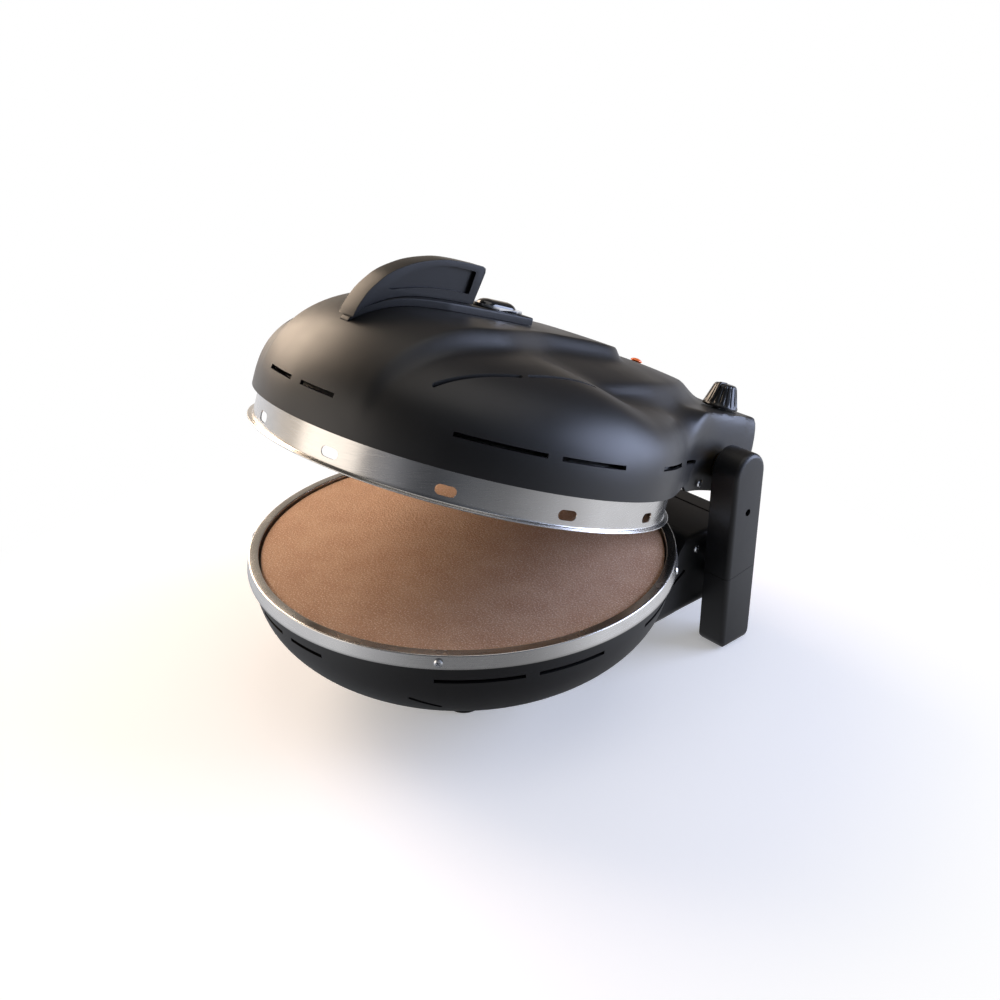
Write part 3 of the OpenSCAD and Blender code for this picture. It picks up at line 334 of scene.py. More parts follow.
def lidInset(x, y):
    return softMax(domeInset(x, y), neckInset(x, y), lid["footprintBlend"])


def edgeHeight(y):
    return lid["edge"] + (lid["neckEdge"] - lid["edge"]) * smoothStep((y - 118) / 26)


def wallRise(inset, depth, power):
    return (1 - (1 - np.clip(inset / depth, 0, 1)) ** power) ** (1 / power)


def frontFall(x, y, top, power):
    rise = wallRise(domeInset(x, np.minimum(y, 0)), lid["radius"], power)
    fallen = lid["edge"] + (top - lid["edge"]) * rise
    return fallen + (top - fallen) * smoothStep(y / 110)


def shoulderHeight(x, y):
    e, low = lidInset(x, y), edgeHeight(y)
    cap = lid["deck"] + (lid["shoulder"] + 4 - lid["deck"]) * (1 - smoothStep((y + 40) / 90))
    dome = -softMax(-low - (lid["shoulder"] - low) * wallRise(e, lid["radius"], 2.8), -cap,
                    lid["shoulderBlend"])
    neck = low + (lid["deck"] - low) * wallRise(e, 6 + 3 * smoothStep((y - 205) / 18), 2.5)
    return dome + (neck - dome) * smoothStep((neckInset(x, y) - domeInset(x, y)) / lid["neckBlend"] + 0.52)


def terraceHeight(x, y):
    b = np.maximum(0, (y - 30) / 177)
    outside = 84 * (((abs(x) / 84) ** 1.8 + b ** 1.8) ** (1 / 1.8) - 1)
    fall = 0.00056 * np.maximum(0, y - 60) ** 2
    return frontFall(x, y, lid["terrace"], 2.8) - fall - 0.0018 * x * x - 1.2 * rampUp(outside, 7)


def spineHalf(y):
    w = lid["spineBack"] + (lid["spineFront"] - lid["spineBack"]) * smoothStep((30 - y) / 90)
    t = np.clip((y - lid["spineEnd"] + 36) / 36, 0, 1)
    return w * np.sqrt(1 - t * t)


def spineHeight(x, y):
    outside = abs(x) + np.maximum(0, y - lid["spineEnd"]) - spineHalf(y)
    top = -softMax(-lid["spine"] + 0 * x, -frontFall(x, y, lid["spine"] + 6.5, 2.66), 8)
    return top - 0.0003 * x * x - 0.0011 * np.maximum(0, y - 60) ** 2 - 1.3 * rampUp(outside, 4)


def lidTop(x, y):
    x, y = np.asarray(x, float), np.asarray(y, float)
    return softMax(softMax(shoulderHeight(x, y), terraceHeight(x, y), 7), spineHeight(x, y), 5)


def outlineHalf(y):
    low, high = 0.0, lid["radius"] + 2
    for _ in range(40):
        mid = (low + high) / 2
        if lidInset(mid, y) > 0:
            low = mid
        else:
            high = mid
    return low


def lidSkin():
    front = [-lid["radius"] * math.cos(math.radians(a)) for a in np.linspace(0, 88, 80)]
    rear = list(np.linspace(front[-1] + 3, 222, 90))
    rear += [223.5, 225, 226.5, 227.8, 229, 229.8, 230.4, 230.8, lid["back"]]
    rows, points = front + rear, []
    for y in rows:
        half = outlineHalf(y) if y > front[0] else 0.0
        if y > 200:
            c = lid["corner"]
            half = lid["neckHalf"] - c + math.sqrt(max(0, c * c - max(0, y - lid["back"] + c) ** 2))
        s = min(1, half / 110)
        w = min(max(10, float(spineHalf(np.float64(y)))), 0.62 * half)
        b = max(0, (y - 30) / 177)
        v = min(max(w / max(s, 1e-6) + 14, 84 * max(0, 1 - b ** 1.8) ** (1 / 1.8)), 0.78 * half)
        g = v + 9 * s
        xs = list(np.linspace(0, max(w - 7 * s, 0), 8)) + list(np.linspace(w - 5.5 * s, w + 12 * s, 12))
        xs += list(np.linspace(w + 14 * s, max(v - 8 * s, w + 15 * s), 5))
        xs += list(np.linspace(max(v - 6 * s, w + 16 * s), g, 7))
        xs += [g + (half - g) * (1 - (1 - t) ** 2.2) for t in np.linspace(0.06, 1, 22)]
        xs = sorted(min(x, half) for x in xs)
        points.append([-x for x in xs[:0:-1]] + xs)
    n, m = len(points[0]), len(rows)
    x = np.array(points)
    y = np.array(rows)[:, None] + 0 * x
    z = lidTop(x, y)
    rim = np.zeros_like(x, bool)
    rim[:, 0] = rim[:, -1] = rim[0] = rim[-1] = True
    z = np.where(rim, edgeHeight(y), z)
    e = 0.3
    slopeX = (lidTop(x - e, y) - lidTop(x + e, y)) / (2 * e)
    slopeY = (lidTop(x, y - e) - lidTop(x, y + e)) / (2 * e)
    rimX, rimY = (lidInset(x - e, y) - lidInset(x + e, y)), (lidInset(x, y - e) - lidInset(x, y + e))
    normal = [np.where(rim, rimX, slopeX), np.where(rim, rimY, slopeY), np.where(rim, 0.0, 1.0)]
    normal = np.stack(normal, -1)
    normal /= np.maximum(np.linalg.norm(normal, axis=-1, keepdims=True), 1e-9)
    outer = np.stack([x, y, z], -1)
    inner = outer - normal * lid["wall"]
    verts = np.concatenate([outer.reshape(-1, 3), inner.reshape(-1, 3)]) * mm
    faces, k = [], n * m
    for j in range(m - 1):
        for i in range(n - 1):
            a, b, c, d = j * n + i, j * n + i + 1, (j + 1) * n + i + 1, (j + 1) * n + i
            faces += [(a, b, c, d), (k + a, k + d, k + c, k + b)]
    border = [i for i in range(n)] + [j * n + n - 1 for j in range(1, m)]
    border += [(m - 1) * n + i for i in range(n - 2, -1, -1)] + [j * n for j in range(m - 2, 0, -1)]
    for p, q in zip(border, border[1:] + border[:1]):
        faces.append((p, k + p, k + q, q))
    obj = pieceFrom("lid_shell_skin", verts, faces)
    outward(obj, 2e-6, True)
    return obj


def capsule(name, start, end, radius, axis, length):
    # a slot cutter: a bar with round ends from start to end, long along axis
    start, end, axis = Vector(start), Vector(end), Vector(axis).normalized()
    along = (end - start).normalized()
    side = axis.cross(along).normalized()
    across = [start + radius * (math.cos(a) * -along + math.sin(a) * side)
              for a in np.linspace(-math.pi / 2, math.pi / 2, 9)]
    across += [end + radius * (math.cos(a) * along - math.sin(a) * side)
               for a in np.linspace(-math.pi / 2, math.pi / 2, 9)]
    return bar(name, [(p + s * axis * length / 2) * mm for s in (-1, 1) for p in across])


def arcSlot(name, first, last, z, radius, half, inner=16):
    # a slot cutter that follows the round wall: angles from the front towards the right
    steps = max(4, int((last - first) / 1.5))
    verts, faces = [], []
    for k in range(steps + 1):
        a = math.radians(first + (last - first) * k / steps - 90)
        near, far = radius - inner, radius + 8
        for r, h in ((near, -half), (far, -half), (far, half), (near, half)):
            verts.append((r * math.cos(a) * mm, r * math.sin(a) * mm, (z + h) * mm))
    for k in range(steps):
        for i in range(4):
            a, b = 4 * k, 4 * k + 4
            faces.append((a + i, b + i, b + (i + 1) % 4, a + (i + 1) % 4))
    faces += [(0, 1, 2, 3), (4 * steps + 3, 4 * steps + 2, 4 * steps + 1, 4 * steps)]
    obj = pieceFrom(name, verts, faces)
    outward(obj)
    return obj


def mirrored(obj):
    copy = obj.copy()
    copy.data = obj.data.copy()
    copy.data.transform(Matrix.Scale(-1, 4, (1, 0, 0)))
    bpy.context.scene.collection.objects.link(copy)
    outward(copy)
    return copy


rowSlots = [(2, 13.5), (43.5, 65.5), (69, 87.5), (104, 120)]  # degrees from the front towards the right
shell = lidSkin()
slotHalf = lid["slotWidth"] / 2
cutters = [arcSlot("slot", a, b, lid["slotHeight"], lid["radius"], slotHalf) for a, b in rowSlots]
cutters += [capsule("slot", (p[0], p[1], 85), (q[0], q[1], 85), slotHalf, (0, 0, 1), 50)
            for p, q in (((86, -119), (104, -66)), ((105, -59), (112, -4)))]
cutters.append(capsule("slot", (122, 110, 46.5), (106, 140, 44), slotHalf,
                       (math.cos(math.radians(25)), math.sin(math.radians(25)), 0), 24))
cutters += [mirrored(c) for c in cutters]
for hole in ((0, -4, 16), (0, 168, 3.7), (69, 203.5, 5)):
    cutters.append(prism("hole", arc(hole[0], hole[1], hole[2], 0, 351, 39), 70, 130, "z"))
for side in (-1, 1):
    bore = arc(hinge["y"], hinge["z"], 9.3, 0, 348, 29)
    cutters.append(prism("bushHole", bore, side * 88, side * 103))
boolean(shell, cutters)
shell.data.transform(toOpen)
finish(shell, "black_plastic", "lid", ["lid_shell"], 40)
print("lid shell:", len(shell.data.polygons), "faces")

# base shell
base = {"bowlRadius": 161.0, "bowlTop": -11.0, "bowlDepth": 93.0, "wall": 3.0, "deckDrop": 15.0,
        "neckHalf": 98.0, "neckBack": 229.0, "neckFront": 158.0, "neckRound": 18.0, "neckFloor": -79.0,
        "slotHeight": -20.5}


def bowl(inset, top):
    r, z0, depth = base["bowlRadius"] - inset, base["bowlTop"], base["bowlDepth"] - inset
    curve = [(r * math.cos(math.radians(t)) ** (2 / 1.69),
              z0 - depth * math.sin(math.radians(t)) ** (2 / 2.28)) for t in np.linspace(0, 89.5, 48)]
    return revolve("bowl", [(0.01, top), (r, top)] + curve + [(0.01, z0 - depth)])


def neckBlock(inset, topRound):
    front, back, r = base["neckFront"], base["neckBack"], base["neckRound"]
    floor, deck = base["neckFloor"], -base["deckDrop"]
    side = arc(front, deck - r, r - inset, 155, 90, 12) + arc(back - 10, deck - 10, 10 - inset, 90, 0, 10)
    side += arc(back - r, floor + r, r - inset, 0, -90, 12)
    side += [(150, floor + inset), (124, floor - 3 + inset), (108, floor - 6 + inset),
             (98 + inset / 2, floor - 4 + inset), (90 + inset, floor + 5 + inset),
             (90 + inset, -42 - inset), (118, -42 - inset)]
    w, z1, z0 = base["neckHalf"] - inset, deck - inset, floor - 7 + inset
    width = arc(w - topRound, z1 - topRound, topRound, 0, 90, 8)
    width += arc(topRound - w, z1 - topRound, topRound, 90, 180, 8)
    width += arc(14 - w, z0 + 14, 14, 180, 270, 10) + arc(w - 14, z0 + 14, 14, 270, 360, 10)
    block = prism("neck", side, -w, w, "x")
    return boolean(block, [prism("neckWidth", width, 80, back + 1, "y")], "INTERSECT")


bowlShell = boolean(bowl(0, 1.0), [neckBlock(0, 5)], "UNION")
cover = prism("coverSeat", [(-92.25, 162.75), (92.25, 162.75), (92.25, 207), (-92.25, 207)], -19, -13, "z")
slots = [arcSlot("slot", a, b, base["slotHeight"], base["bowlRadius"], slotHalf, 12) for a, b in rowSlots]
slots.append(capsule("slot", (91, -121, -40.6), (102.5, -105, -49.4), slotHalf, (0.66, -0.76, 0), 40))
slots.append(capsule("slot", (98, 138, -49.6), (98, 150, -42.2), slotHalf, (1, 0, 0), 16))
slots += [mirrored(c) for c in slots]
feet = [prism("footBoss", arc(side * 45, -38, 12.5, 0, 350, 35), -98.9, -80, "z") for side in (-1, 1)]
boolean(bowlShell, feet, "UNION")
boolean(bowlShell, [bowl(base["wall"], 3.0)] + [neckBlock(base["wall"], 3), cover] + slots)
finish(bowlShell, "black_plastic", "base", ["lower_shell"], 34)
bowlShell.name = "lower_shell_skin"
print("base shell:", len(bowlShell.data.polygons), "faces")

# handle
handle = {"front": -132.0, "back": -32.0, "half": 8.0, "frameHalf": 16.5, "frameHeight": 6.0,
          "frameBack": 20.0, "panelDepth": 3.0, "edgeRound": 2.6}


def crown(y):
    return float(lidTop(0.0, y))


def spline(points, steps):
    # an open smooth curve through the points
    out, n = [], len(points)
    pts = [Vector(p) for p in points]
    for i in range(n - 1):
        p0, p1, p2, p3 = pts[max(i - 1, 0)], pts[i], pts[i + 1], pts[min(i + 2, n - 1)]
        for k in range(steps):
            t = k / steps
            out.append(tuple(0.5 * ((2 * p1) + (p2 - p0) * t + (2 * p0 - 5 * p1 + 4 * p2 - p3) * t * t
                                    + (3 * p1 - p0 - 3 * p2 + p3) * t ** 3)))
    return out + [tuple(pts[-1])]


back = handle["back"]
finTop = spline([(-48, 147.3), (-60, 146.8), (-72, 145.2), (-89, 140.7), (-101, 135.5), (-112, 129),
                 (-120, 121.5), (-126.5, 113.3), (-131.5, 103), (-133.5, 96)], 4)
finBack = spline([(back - 1.5, 122), (back + 1.2, 136), (back + 2.5, 143.4)], 3)
finBack += [(back + 1.9, 146.2), (back - 0.6, 147.3)]
finBase = [(y, crown(y) + handle["frameHeight"] + 0.2) for y in np.linspace(handle["front"], back - 2, 24)]
outline = finBack + finTop + [p for p in finBase if p[0] > -131.5]
fin = prism("handle_fin_body", outline, -handle["half"], handle["half"], "x")
bevelled(fin, handle["edgeRound"], 5, 40)
panelTop = spline([(-60, 142.6), (-76, 139.6), (-92, 133.5), (-104, 126), (-111, 119.2)], 5)
panelLow = spline([(-108, 118.6), (-96, 121.4), (-80, 124.4), (-60, 126.2), (back - 8, 126.2)], 5)
panelOutline = rounded([(back - 8, 126.2), (back - 6, 142.6)] + panelTop + panelLow[:-1], 1.4, 3)
floorOfPanel = handle["half"] - handle["panelDepth"]
boolean(fin, [prism("panel", panelOutline, s * floorOfPanel, s * (handle["half"] + 1)) for s in (-1, 1)])
fin.data.transform(toOpen)
finish(fin, "handle_plastic", "lid", ["handle_fin"], 35)

steps = list(np.linspace(handle["front"] - 2, handle["frameBack"], 60))
sections = []
for y in steps:
    w = min(handle["frameHalf"], 4.5 + (y - handle["front"]) * 0.17)
    low, high, r = crown(y) + 0.2, crown(y) + handle["frameHeight"], 1.6
    high = low + (high - low) * min(1.0, 0.12 + (y - steps[0]) / 7)
    r = min(r, (high - low) * 0.45)
    shoulder = arc(w - r, high - r, r, 0, 90, 5)
    sections.append([(w, y, low)] + [(p[0], y, p[1]) for p in shoulder]
                    + [(-p[0], y, p[1]) for p in reversed(shoulder)] + [(-w, y, low)])
n = len(sections[0])
verts = [tuple(c * mm for c in p) for section in sections for p in section]
faces = [(j * n + i, (j + 1) * n + i, (j + 1) * n + (i + 1) % n, j * n + (i + 1) % n)
         for j in range(len(sections) - 1) for i in range(n)]
faces += [tuple(range(n)), tuple((len(sections) - 1) * n + i for i in reversed(range(n)))]
strip = pieceFrom("handle_base_frame", verts, faces)
outward(strip)
windowHole = [(x, y) for x, y in arc(0, -4 + 8.5, 11.7, 0, 180, 20) + arc(0, -4 - 8.5, 11.7, 180, 360, 20)]
boolean(strip, [prism("window", windowHole, 90, 140, "z")])
strip.data.transform(toOpen)
finish(strip, "handle_plastic", "lid", ["handle_frame"], 35)
print("handle made")

# knob
knob = {"x": 69.0, "y": 203.5, "radius": 14.75, "height": 19.5, "flutes": 18, "fluteDepth": 0.7,
        "gap": 1.2, "taper": 5.0}


def knobMesh():
    edge = [lidTop(knob["x"] + knob["radius"] * math.cos(a), knob["y"] + knob["radius"] * math.sin(a))
            for a in np.linspace(0, 2 * math.pi, 25)]
    seat = float(max(edge)) + knob["gap"]
    r, h = knob["radius"], knob["height"]
    t = knob["taper"]
    profile = [(r - 0.4, 0), (r, 0.5), (r, 1.6), (r - 0.4, 2.4), (r - 0.8, 3.2)]
    profile += [(r - 0.8 - (t - 0.8) * u, 3.2 + (h - 5.7) * u)
                for u in (0.15, 0.3, 0.45, 0.6, 0.75, 0.9, 1.0)]
    profile += [(r - t - 0.5, h - 1.5), (r - t - 1.2, h - 0.7), (r - t - 2.1, h - 0.2), (r - t - 3.4, h)]
    around, verts, faces = knob["flutes"] * 8, [], []
    for k in range(around):
        a = 2 * math.pi * k / around
        groove = max(0.0, math.cos(knob["flutes"] * a)) ** 0.6
        for radius, z in profile:
            fade = min(max((z - 2.2) / 1.5, 0), 1) * min(max((h - 0.6 - z) / 2.0, 0), 1)
            rr = radius - knob["fluteDepth"] * groove * fade
            verts.append((rr * math.cos(a), rr * math.sin(a), z))
    m = len(profile)
    for k in range(around):
        a, b = k * m, ((k + 1) % around) * m
        faces += [(a + i, b + i, b + i + 1, a + i + 1) for i in range(m - 1)]
    faces.append(tuple(k * m + m - 1 for k in range(around)))
    faces.append(tuple(k * m for k in reversed(range(around))))
    verts = [((p[0] + knob["x"]) * mm, (p[1] + knob["y"]) * mm, (p[2] + seat) * mm) for p in verts]
    obj = pieceFrom("control_knob_body", verts, faces)
    outward(obj)
    ridge = [(0, h - 1), (0, h + 0.9), (t + 2.2 - r, h + 0.9), (t + 1 - r, h + 0.4), (t - 0.4 - r, h - 2),
             (0.6 - r, 3.4), (0.6 - r, 1.6), (4 - r, 1.6)]
    ridge = [(knob["y"] + p[0], seat + p[1]) for p in ridge]
    pointer = prism("pointer", ridge, knob["x"] - 1.4, knob["x"] + 1.4)
    bevelled(pointer, 0.45, 2, 30)
    boolean(obj, [pointer], "UNION")
    return obj


knobBody = knobMesh()
knobBody.data.transform(toOpen)
finish(knobBody, "knob_plastic", "knob", ["control_knob"], 30)
print("knob made")


# legs
leg = {"inner": 105.6, "outer": 130.0, "half": 18.0, "bottom": -110.7, "middle": 184.4, "head": 43.5,
       "edge": 4.0, "foot": 9.0, "end": 7.0, "joint": -42.0, "slope": 7.0, "gap": 0.15, "plateHalf": 12.25,
       "wall": 7.0, "access": 11.7}


def legPiece(name, upper):
    y0, z0, r, low = leg["middle"], leg["head"], leg["half"], leg["bottom"]
    foot, end = leg["foot"], leg["end"]
    outline = arc(y0, z0, r, 0, 180, 48) + arc(y0 - r + foot, low + foot, foot, 180, 270, 10)
    outline += arc(y0 + r - foot, low + foot, foot, 270, 360, 10)
    piece = prism(name, outline, leg["inner"], leg["outer"])
    corners = [v.co.x for v in piece.data.vertices]
    mod = piece.modifiers.new("outerEdge", "BEVEL")
    group = piece.vertex_groups.new(name="outerRound")
    group.add([i for i, x in enumerate(corners) if x > leg["outer"] * mm - 1e-5], 1.0, "REPLACE")
    mod.limit_method, mod.vertex_group, mod.width, mod.segments = "VGROUP", "outerRound", leg["edge"] * mm, 6
    baked(piece)
    lift, tilt = (leg["gap"] if upper else -leg["gap"]), math.tan(math.radians(leg["slope"]))
    side = 1 if upper else -1
    keep = [(y0 - 40, leg["joint"] + lift - 40 * tilt), (y0 + 40, leg["joint"] + lift + 40 * tilt),
            (y0 + 40, leg["joint"] + side * 200), (y0 - 40, leg["joint"] + side * 200)]
    ends = [(leg["outer"], z0 + 60), (leg["inner"], z0 + 60)]
    ends += arc(leg["inner"] + end, low + end, end, 180, 270, 8)
    ends += arc(leg["outer"] - end, low + end, end, 270, 360, 8)
    keeps = [prism("keep", keep, leg["inner"] - 5, leg["outer"] + 5),
             prism("ends", ends, y0 - 40, y0 + 40, "y")]
    boolean(piece, keeps, "INTERSECT")
    w = leg["plateHalf"]
    pocket = arc(hinge["y"], hinge["z"], w, 0, 180, 24)
    pocket += [(hinge["y"] - w, low + 12), (hinge["y"] + w, low + 12)]
    cuts = [prism("pocket", pocket, leg["inner"] - 1, leg["outer"] - leg["wall"])]
    if upper:
        hole = arc(y0, leg["access"], 3.0, 0, 345, 23)
        cuts.append(prism("screwHole", hole, leg["outer"] - 6, leg["outer"] + 1))
    boolean(piece, cuts)
    return piece


for upper, node in ((True, "leg"), (False, "leg_foot")):
    right = legPiece("right_" + node + "_moulding", upper)
    left = mirrored(right)
    left.name = "left_" + node + "_moulding"
    finish(right, "black_plastic", "base", ["right_" + node], 28)
    finish(left, "black_plastic", "base", ["left_" + node], 28)
print("legs made")

# pressed steel: the lid's ring and the base's rim
ring = {"radius": 156.5, "sheet": 0.8, "lip": 3.7, "lipWidth": 4.0, "lipThick": 1.2, "top": 38.0,
        "flange": 157.4, "holes": 12, "holeLength": 14.0, "holeHeight": 7.0, "fold": 1.2}


def steelRing():
    r, s, z, t, f = ring["radius"], ring["sheet"], ring["lip"], ring["lipThick"], ring["fold"]
    edge = r + ring["lipWidth"]
    profile = [(r - s, z + 0.8), (r - s + 0.25, z + 0.25), (r, z)]
    profile += arc(edge - t / 2, z + t / 2, t / 2, -90, 90, 6)
    profile += arc(r + f, z + t + f, f, 270, 180, 6)
    profile += [(r, h) for h in np.linspace(z + 4, ring["top"] - 4, 12)]
    profile += [(r, ring["top"] - s), (ring["flange"], ring["top"] - s), (ring["flange"], ring["top"])]
    profile += [(r - s, h) for h in np.linspace(ring["top"], z + 2, 12)]
    band = revolve("lid_steel_ring_band", profile, 288)
    end, middle = ring["holeHeight"] / 2, z + 9
    reach = ring["holeLength"] / 2 - end
    oblong = arc(reach, middle, end, -90, 90, 12) + arc(-reach, middle, end, 90, 270, 12)
    cutters = []
    for k in range(ring["holes"]):
        a = math.radians((k + 0.5) * 360 / ring["holes"] - 90)
        hole = prism("steamHole", oblong, r - 6, r + 3)
        hole.data.transform(Matrix.Rotation(a, 4, "Z"))
        cutters.append(hole)
    boolean(band, cutters)
    band.data.transform(toOpen)
    return finish(band, "satin_steel", "lid", ["lid_steel_ring"], 40)


rim = {"radius": 164.0, "flare": 1.5, "rise": 2.0, "band": -8.0, "seat": 156.5, "ledge": 8.0,
       "sheet": 1.0, "stone": 14.0, "round": 1.1}


def steelRim():
    r, f, z1, z0, s, t = rim["radius"], rim["flare"], rim["rise"], rim["band"], rim["seat"], rim["sheet"]
    c, low = rim["round"], -rim["stone"]
    profile = arc(r + f - t / 2, z0 + t / 2, t / 2, 180, 360, 6)
    profile += [(r + f * k / 8, z1 - c + (z0 - z1 + c + t) * k / 8) for k in range(7, 0, -1)]
    profile += arc(r - c, z1 - c, c, 0, 90, 6) + arc(s + 0.7, z1 - 0.7, 0.7, 90, 180, 4)
    profile += [(s, low), (s - rim["ledge"], low), (s - rim["ledge"], low - t), (s + t, low - t),
                (s + t, z1 - t), (r - t, z1 - t), (r - t + f * 0.8, z0 + 2)]
    return finish(revolve("lower_steel_rim_band", profile, 288), "satin_steel", "base",
                  ["lower_steel_rim"], 40)


steelRing()
steelRim()
print("ring and rim made")


# screws, by geometry nodes
def screwTree(name):
    tree = bpy.data.node_groups.new(name, "GeometryNodeTree")
    face = tree.interface
    face.new_socket("Points", in_out="INPUT", socket_type="NodeSocketGeometry")
    lengths = {"Head Radius": 0.003, "Head Height": 0.0014, "Recess Width": 0.0009, "Recess Depth": 0.0008}
    for label, value in lengths.items():
        face.new_socket(label, in_out="INPUT", socket_type="NodeSocketFloat").default_value = value
    face.new_socket("Finish", in_out="INPUT", socket_type="NodeSocketMaterial")
    face.new_socket("Screws", in_out="OUTPUT", socket_type="NodeSocketGeometry")
    given = addNode(tree, "NodeGroupInput")
    radius, height, width, depth = (given.outputs[label] for label in lengths)

    def calc(operation, a, b):
        node = addNode(tree, "ShaderNodeMath", {"operation": operation})
        for socket, value in zip(node.inputs, (a, b)):
            if isinstance(value, (int, float)):
                socket.default_value = value
            else:
                tree.links.new(value, socket)
        return node.outputs[0]

    halfHeight = calc("MULTIPLY", height, 0.5)
    rise = addNode(tree, "ShaderNodeCombineXYZ", Z=calc("MULTIPLY", height, 0.25)).outputs[0]
    drum = addNode(tree, "GeometryNodeMeshCylinder", {"Vertices": 28}, Radius=radius,
                   Depth=halfHeight).outputs["Mesh"]
    drum = addNode(tree, "GeometryNodeTransform", Geometry=drum, Translation=rise).outputs[0]
    dome = addNode(tree, "GeometryNodeMeshCone", {"Vertices": 28}, Radius_Bottom=radius,
                   Radius_Top=calc("MULTIPLY", radius, 0.66), Depth=halfHeight).outputs["Mesh"]
    rise = addNode(tree, "ShaderNodeCombineXYZ", Z=calc("MULTIPLY", height, 0.499)).outputs[0]
    dome = addNode(tree, "GeometryNodeTransform", Geometry=dome, Translation=rise).outputs[0]
    head = addNode(tree, "GeometryNodeMeshBoolean", {"operation": "UNION"})
    tree.links.new(drum, head.inputs["Mesh 2"])
    tree.links.new(dome, head.inputs["Mesh 2"])
    cut = addNode(tree, "GeometryNodeMeshBoolean", {"operation": "DIFFERENCE"}, i0=head.outputs[0])
    long = calc("MULTIPLY", radius, 1.15)
    rise = addNode(tree, "ShaderNodeCombineXYZ", Z=height).outputs[0]
    for swap in (False, True):
        size = addNode(tree, "ShaderNodeCombineXYZ", X=width if swap else long, Y=long if swap else width,
                       Z=calc("MULTIPLY", depth, 2.0)).outputs[0]
        slot = addNode(tree, "GeometryNodeMeshCube", Size=size).outputs["Mesh"]
        slot = addNode(tree, "GeometryNodeTransform", Geometry=slot, Translation=rise).outputs[0]
        tree.links.new(slot, cut.inputs["Mesh 2"])
    axis = addNode(tree, "GeometryNodeInputNamedAttribute",
                   {"data_type": "FLOAT_VECTOR", "Name": "screwAxis"}).outputs[0]
    turn = addNode(tree, "FunctionNodeAlignRotationToVector", {"axis": "Z"}, Vector=axis).outputs[0]
    spots = addNode(tree, "GeometryNodeInstanceOnPoints", Points=given.outputs["Points"],
                    Instance=cut.outputs[0], Rotation=turn).outputs[0]
    real = addNode(tree, "GeometryNodeRealizeInstances", Geometry=spots).outputs[0]
    done = addNode(tree, "GeometryNodeSetMaterial", Geometry=real,
                   Material=given.outputs["Finish"]).outputs[0]
    addNode(tree, "NodeGroupOutput", Screws=done)
    return tree


crossHeads = screwTree("crossRecessScrews")
rimFace = 165.1  # millimetres from the axis to where the screw heads sit on the rim
rimAngles = [math.radians(a) for a in (-45, 33.7, 146.3, 225)]
lidWall = outlineHalf(159.0) + 0.1
screwSets = {
    "rim_screw_heads": {"body": "base", "node": "rim_screws", "radius": 3.0, "height": 1.5, "spots": [
        ((rimFace * math.cos(a), rimFace * math.sin(a), -3), (math.cos(a), math.sin(a), 0.15))
        for a in rimAngles]},
    "neck_screw_heads": {"body": "base", "node": "lower_neck_screws", "radius": 3.0, "height": 1.2,
                         "spots": [((s * 98.0, 164, -26.5), (s, 0, 0)) for s in (-1, 1)]},
    "lid_neck_screw_heads": {"body": "lid", "node": "lid_neck_screws", "radius": 3.0, "height": 1.2,
                             "spots": [((s * lidWall, 162, 25.5), (s, 0, 0)) for s in (-1, 1)]},
    "leg_screw_heads": {"body": "base", "node": "leg_cover_screws", "radius": 2.8, "height": 2.0,
                        "spots": [((s * 124.0, leg["middle"], leg["access"]), (s, 0, 0)) for s in (-1, 1)]},
}
for name, one in screwSets.items():
    points = pieceFrom(name, [tuple(c * mm for c in p) for p, _ in one["spots"]], [])
    axes = points.data.attributes.new("screwAxis", "FLOAT_VECTOR", "POINT")
    axes.data.foreach_set("vector", [c for _, a in one["spots"] for c in a])
    mod = points.modifiers.new("screws", "NODES")
    mod.node_group = crossHeads
    sockets = {item.name: item.identifier for item in crossHeads.interface.items_tree
               if item.in_out == "INPUT"}
    mod[sockets["Head Radius"]] = one["radius"] * mm
    mod[sockets["Head Height"]] = one["height"] * mm
    mod[sockets["Finish"]] = finishes["bright_steel"]
    baked(points)
    if one["body"] == "lid":
        points.data.transform(toOpen)
    finish(points, "bright_steel", one["body"], [one["node"]], 25)
print("screws made")


# the other nodes: merged copies with smooth faces, and the plain nodes given their finish in place
def smoothCopy(node, angle=30):
    source = nodes[node]
    copy = bpy.data.objects.new(node + "_surface", source.data.copy())
    bpy.context.scene.collection.objects.link(copy)
    bm = bmesh.new()
    bm.from_mesh(copy.data)
    bmesh.ops.remove_doubles(bm, verts=bm.verts, dist=2e-6)
    bm.to_mesh(copy.data)
    bm.free()
    return finish(copy, slotOf[node], bodyOf[node], [node], angle)


rebuilt = {"lid_shell", "lower_shell", "handle_fin", "handle_frame", "control_knob", "rim_screws",
           "lower_neck_screws", "lid_neck_screws", "leg_cover_screws", "left_leg", "right_leg",
           "left_leg_foot", "right_leg_foot", "lid_steel_ring", "lower_steel_rim"}
plain = {"terminal_block", "lower_element_brackets", "upper_element_brackets", "leg_spacers",
         "lamp_holder", "neck_deck_cover", "lid_neck_cover", "lid_hinge_brackets"}
for node in sorted(set(nodes) - rebuilt - plain):
    smoothCopy(node)
for node in sorted(plain):
    if not nodes[node].material_slots:
        nodes[node].data.materials.append(finishes[slotOf[node]])
    for slot in nodes[node].material_slots:
        slot.material = finishes[slotOf[node]]
print("other nodes finished")

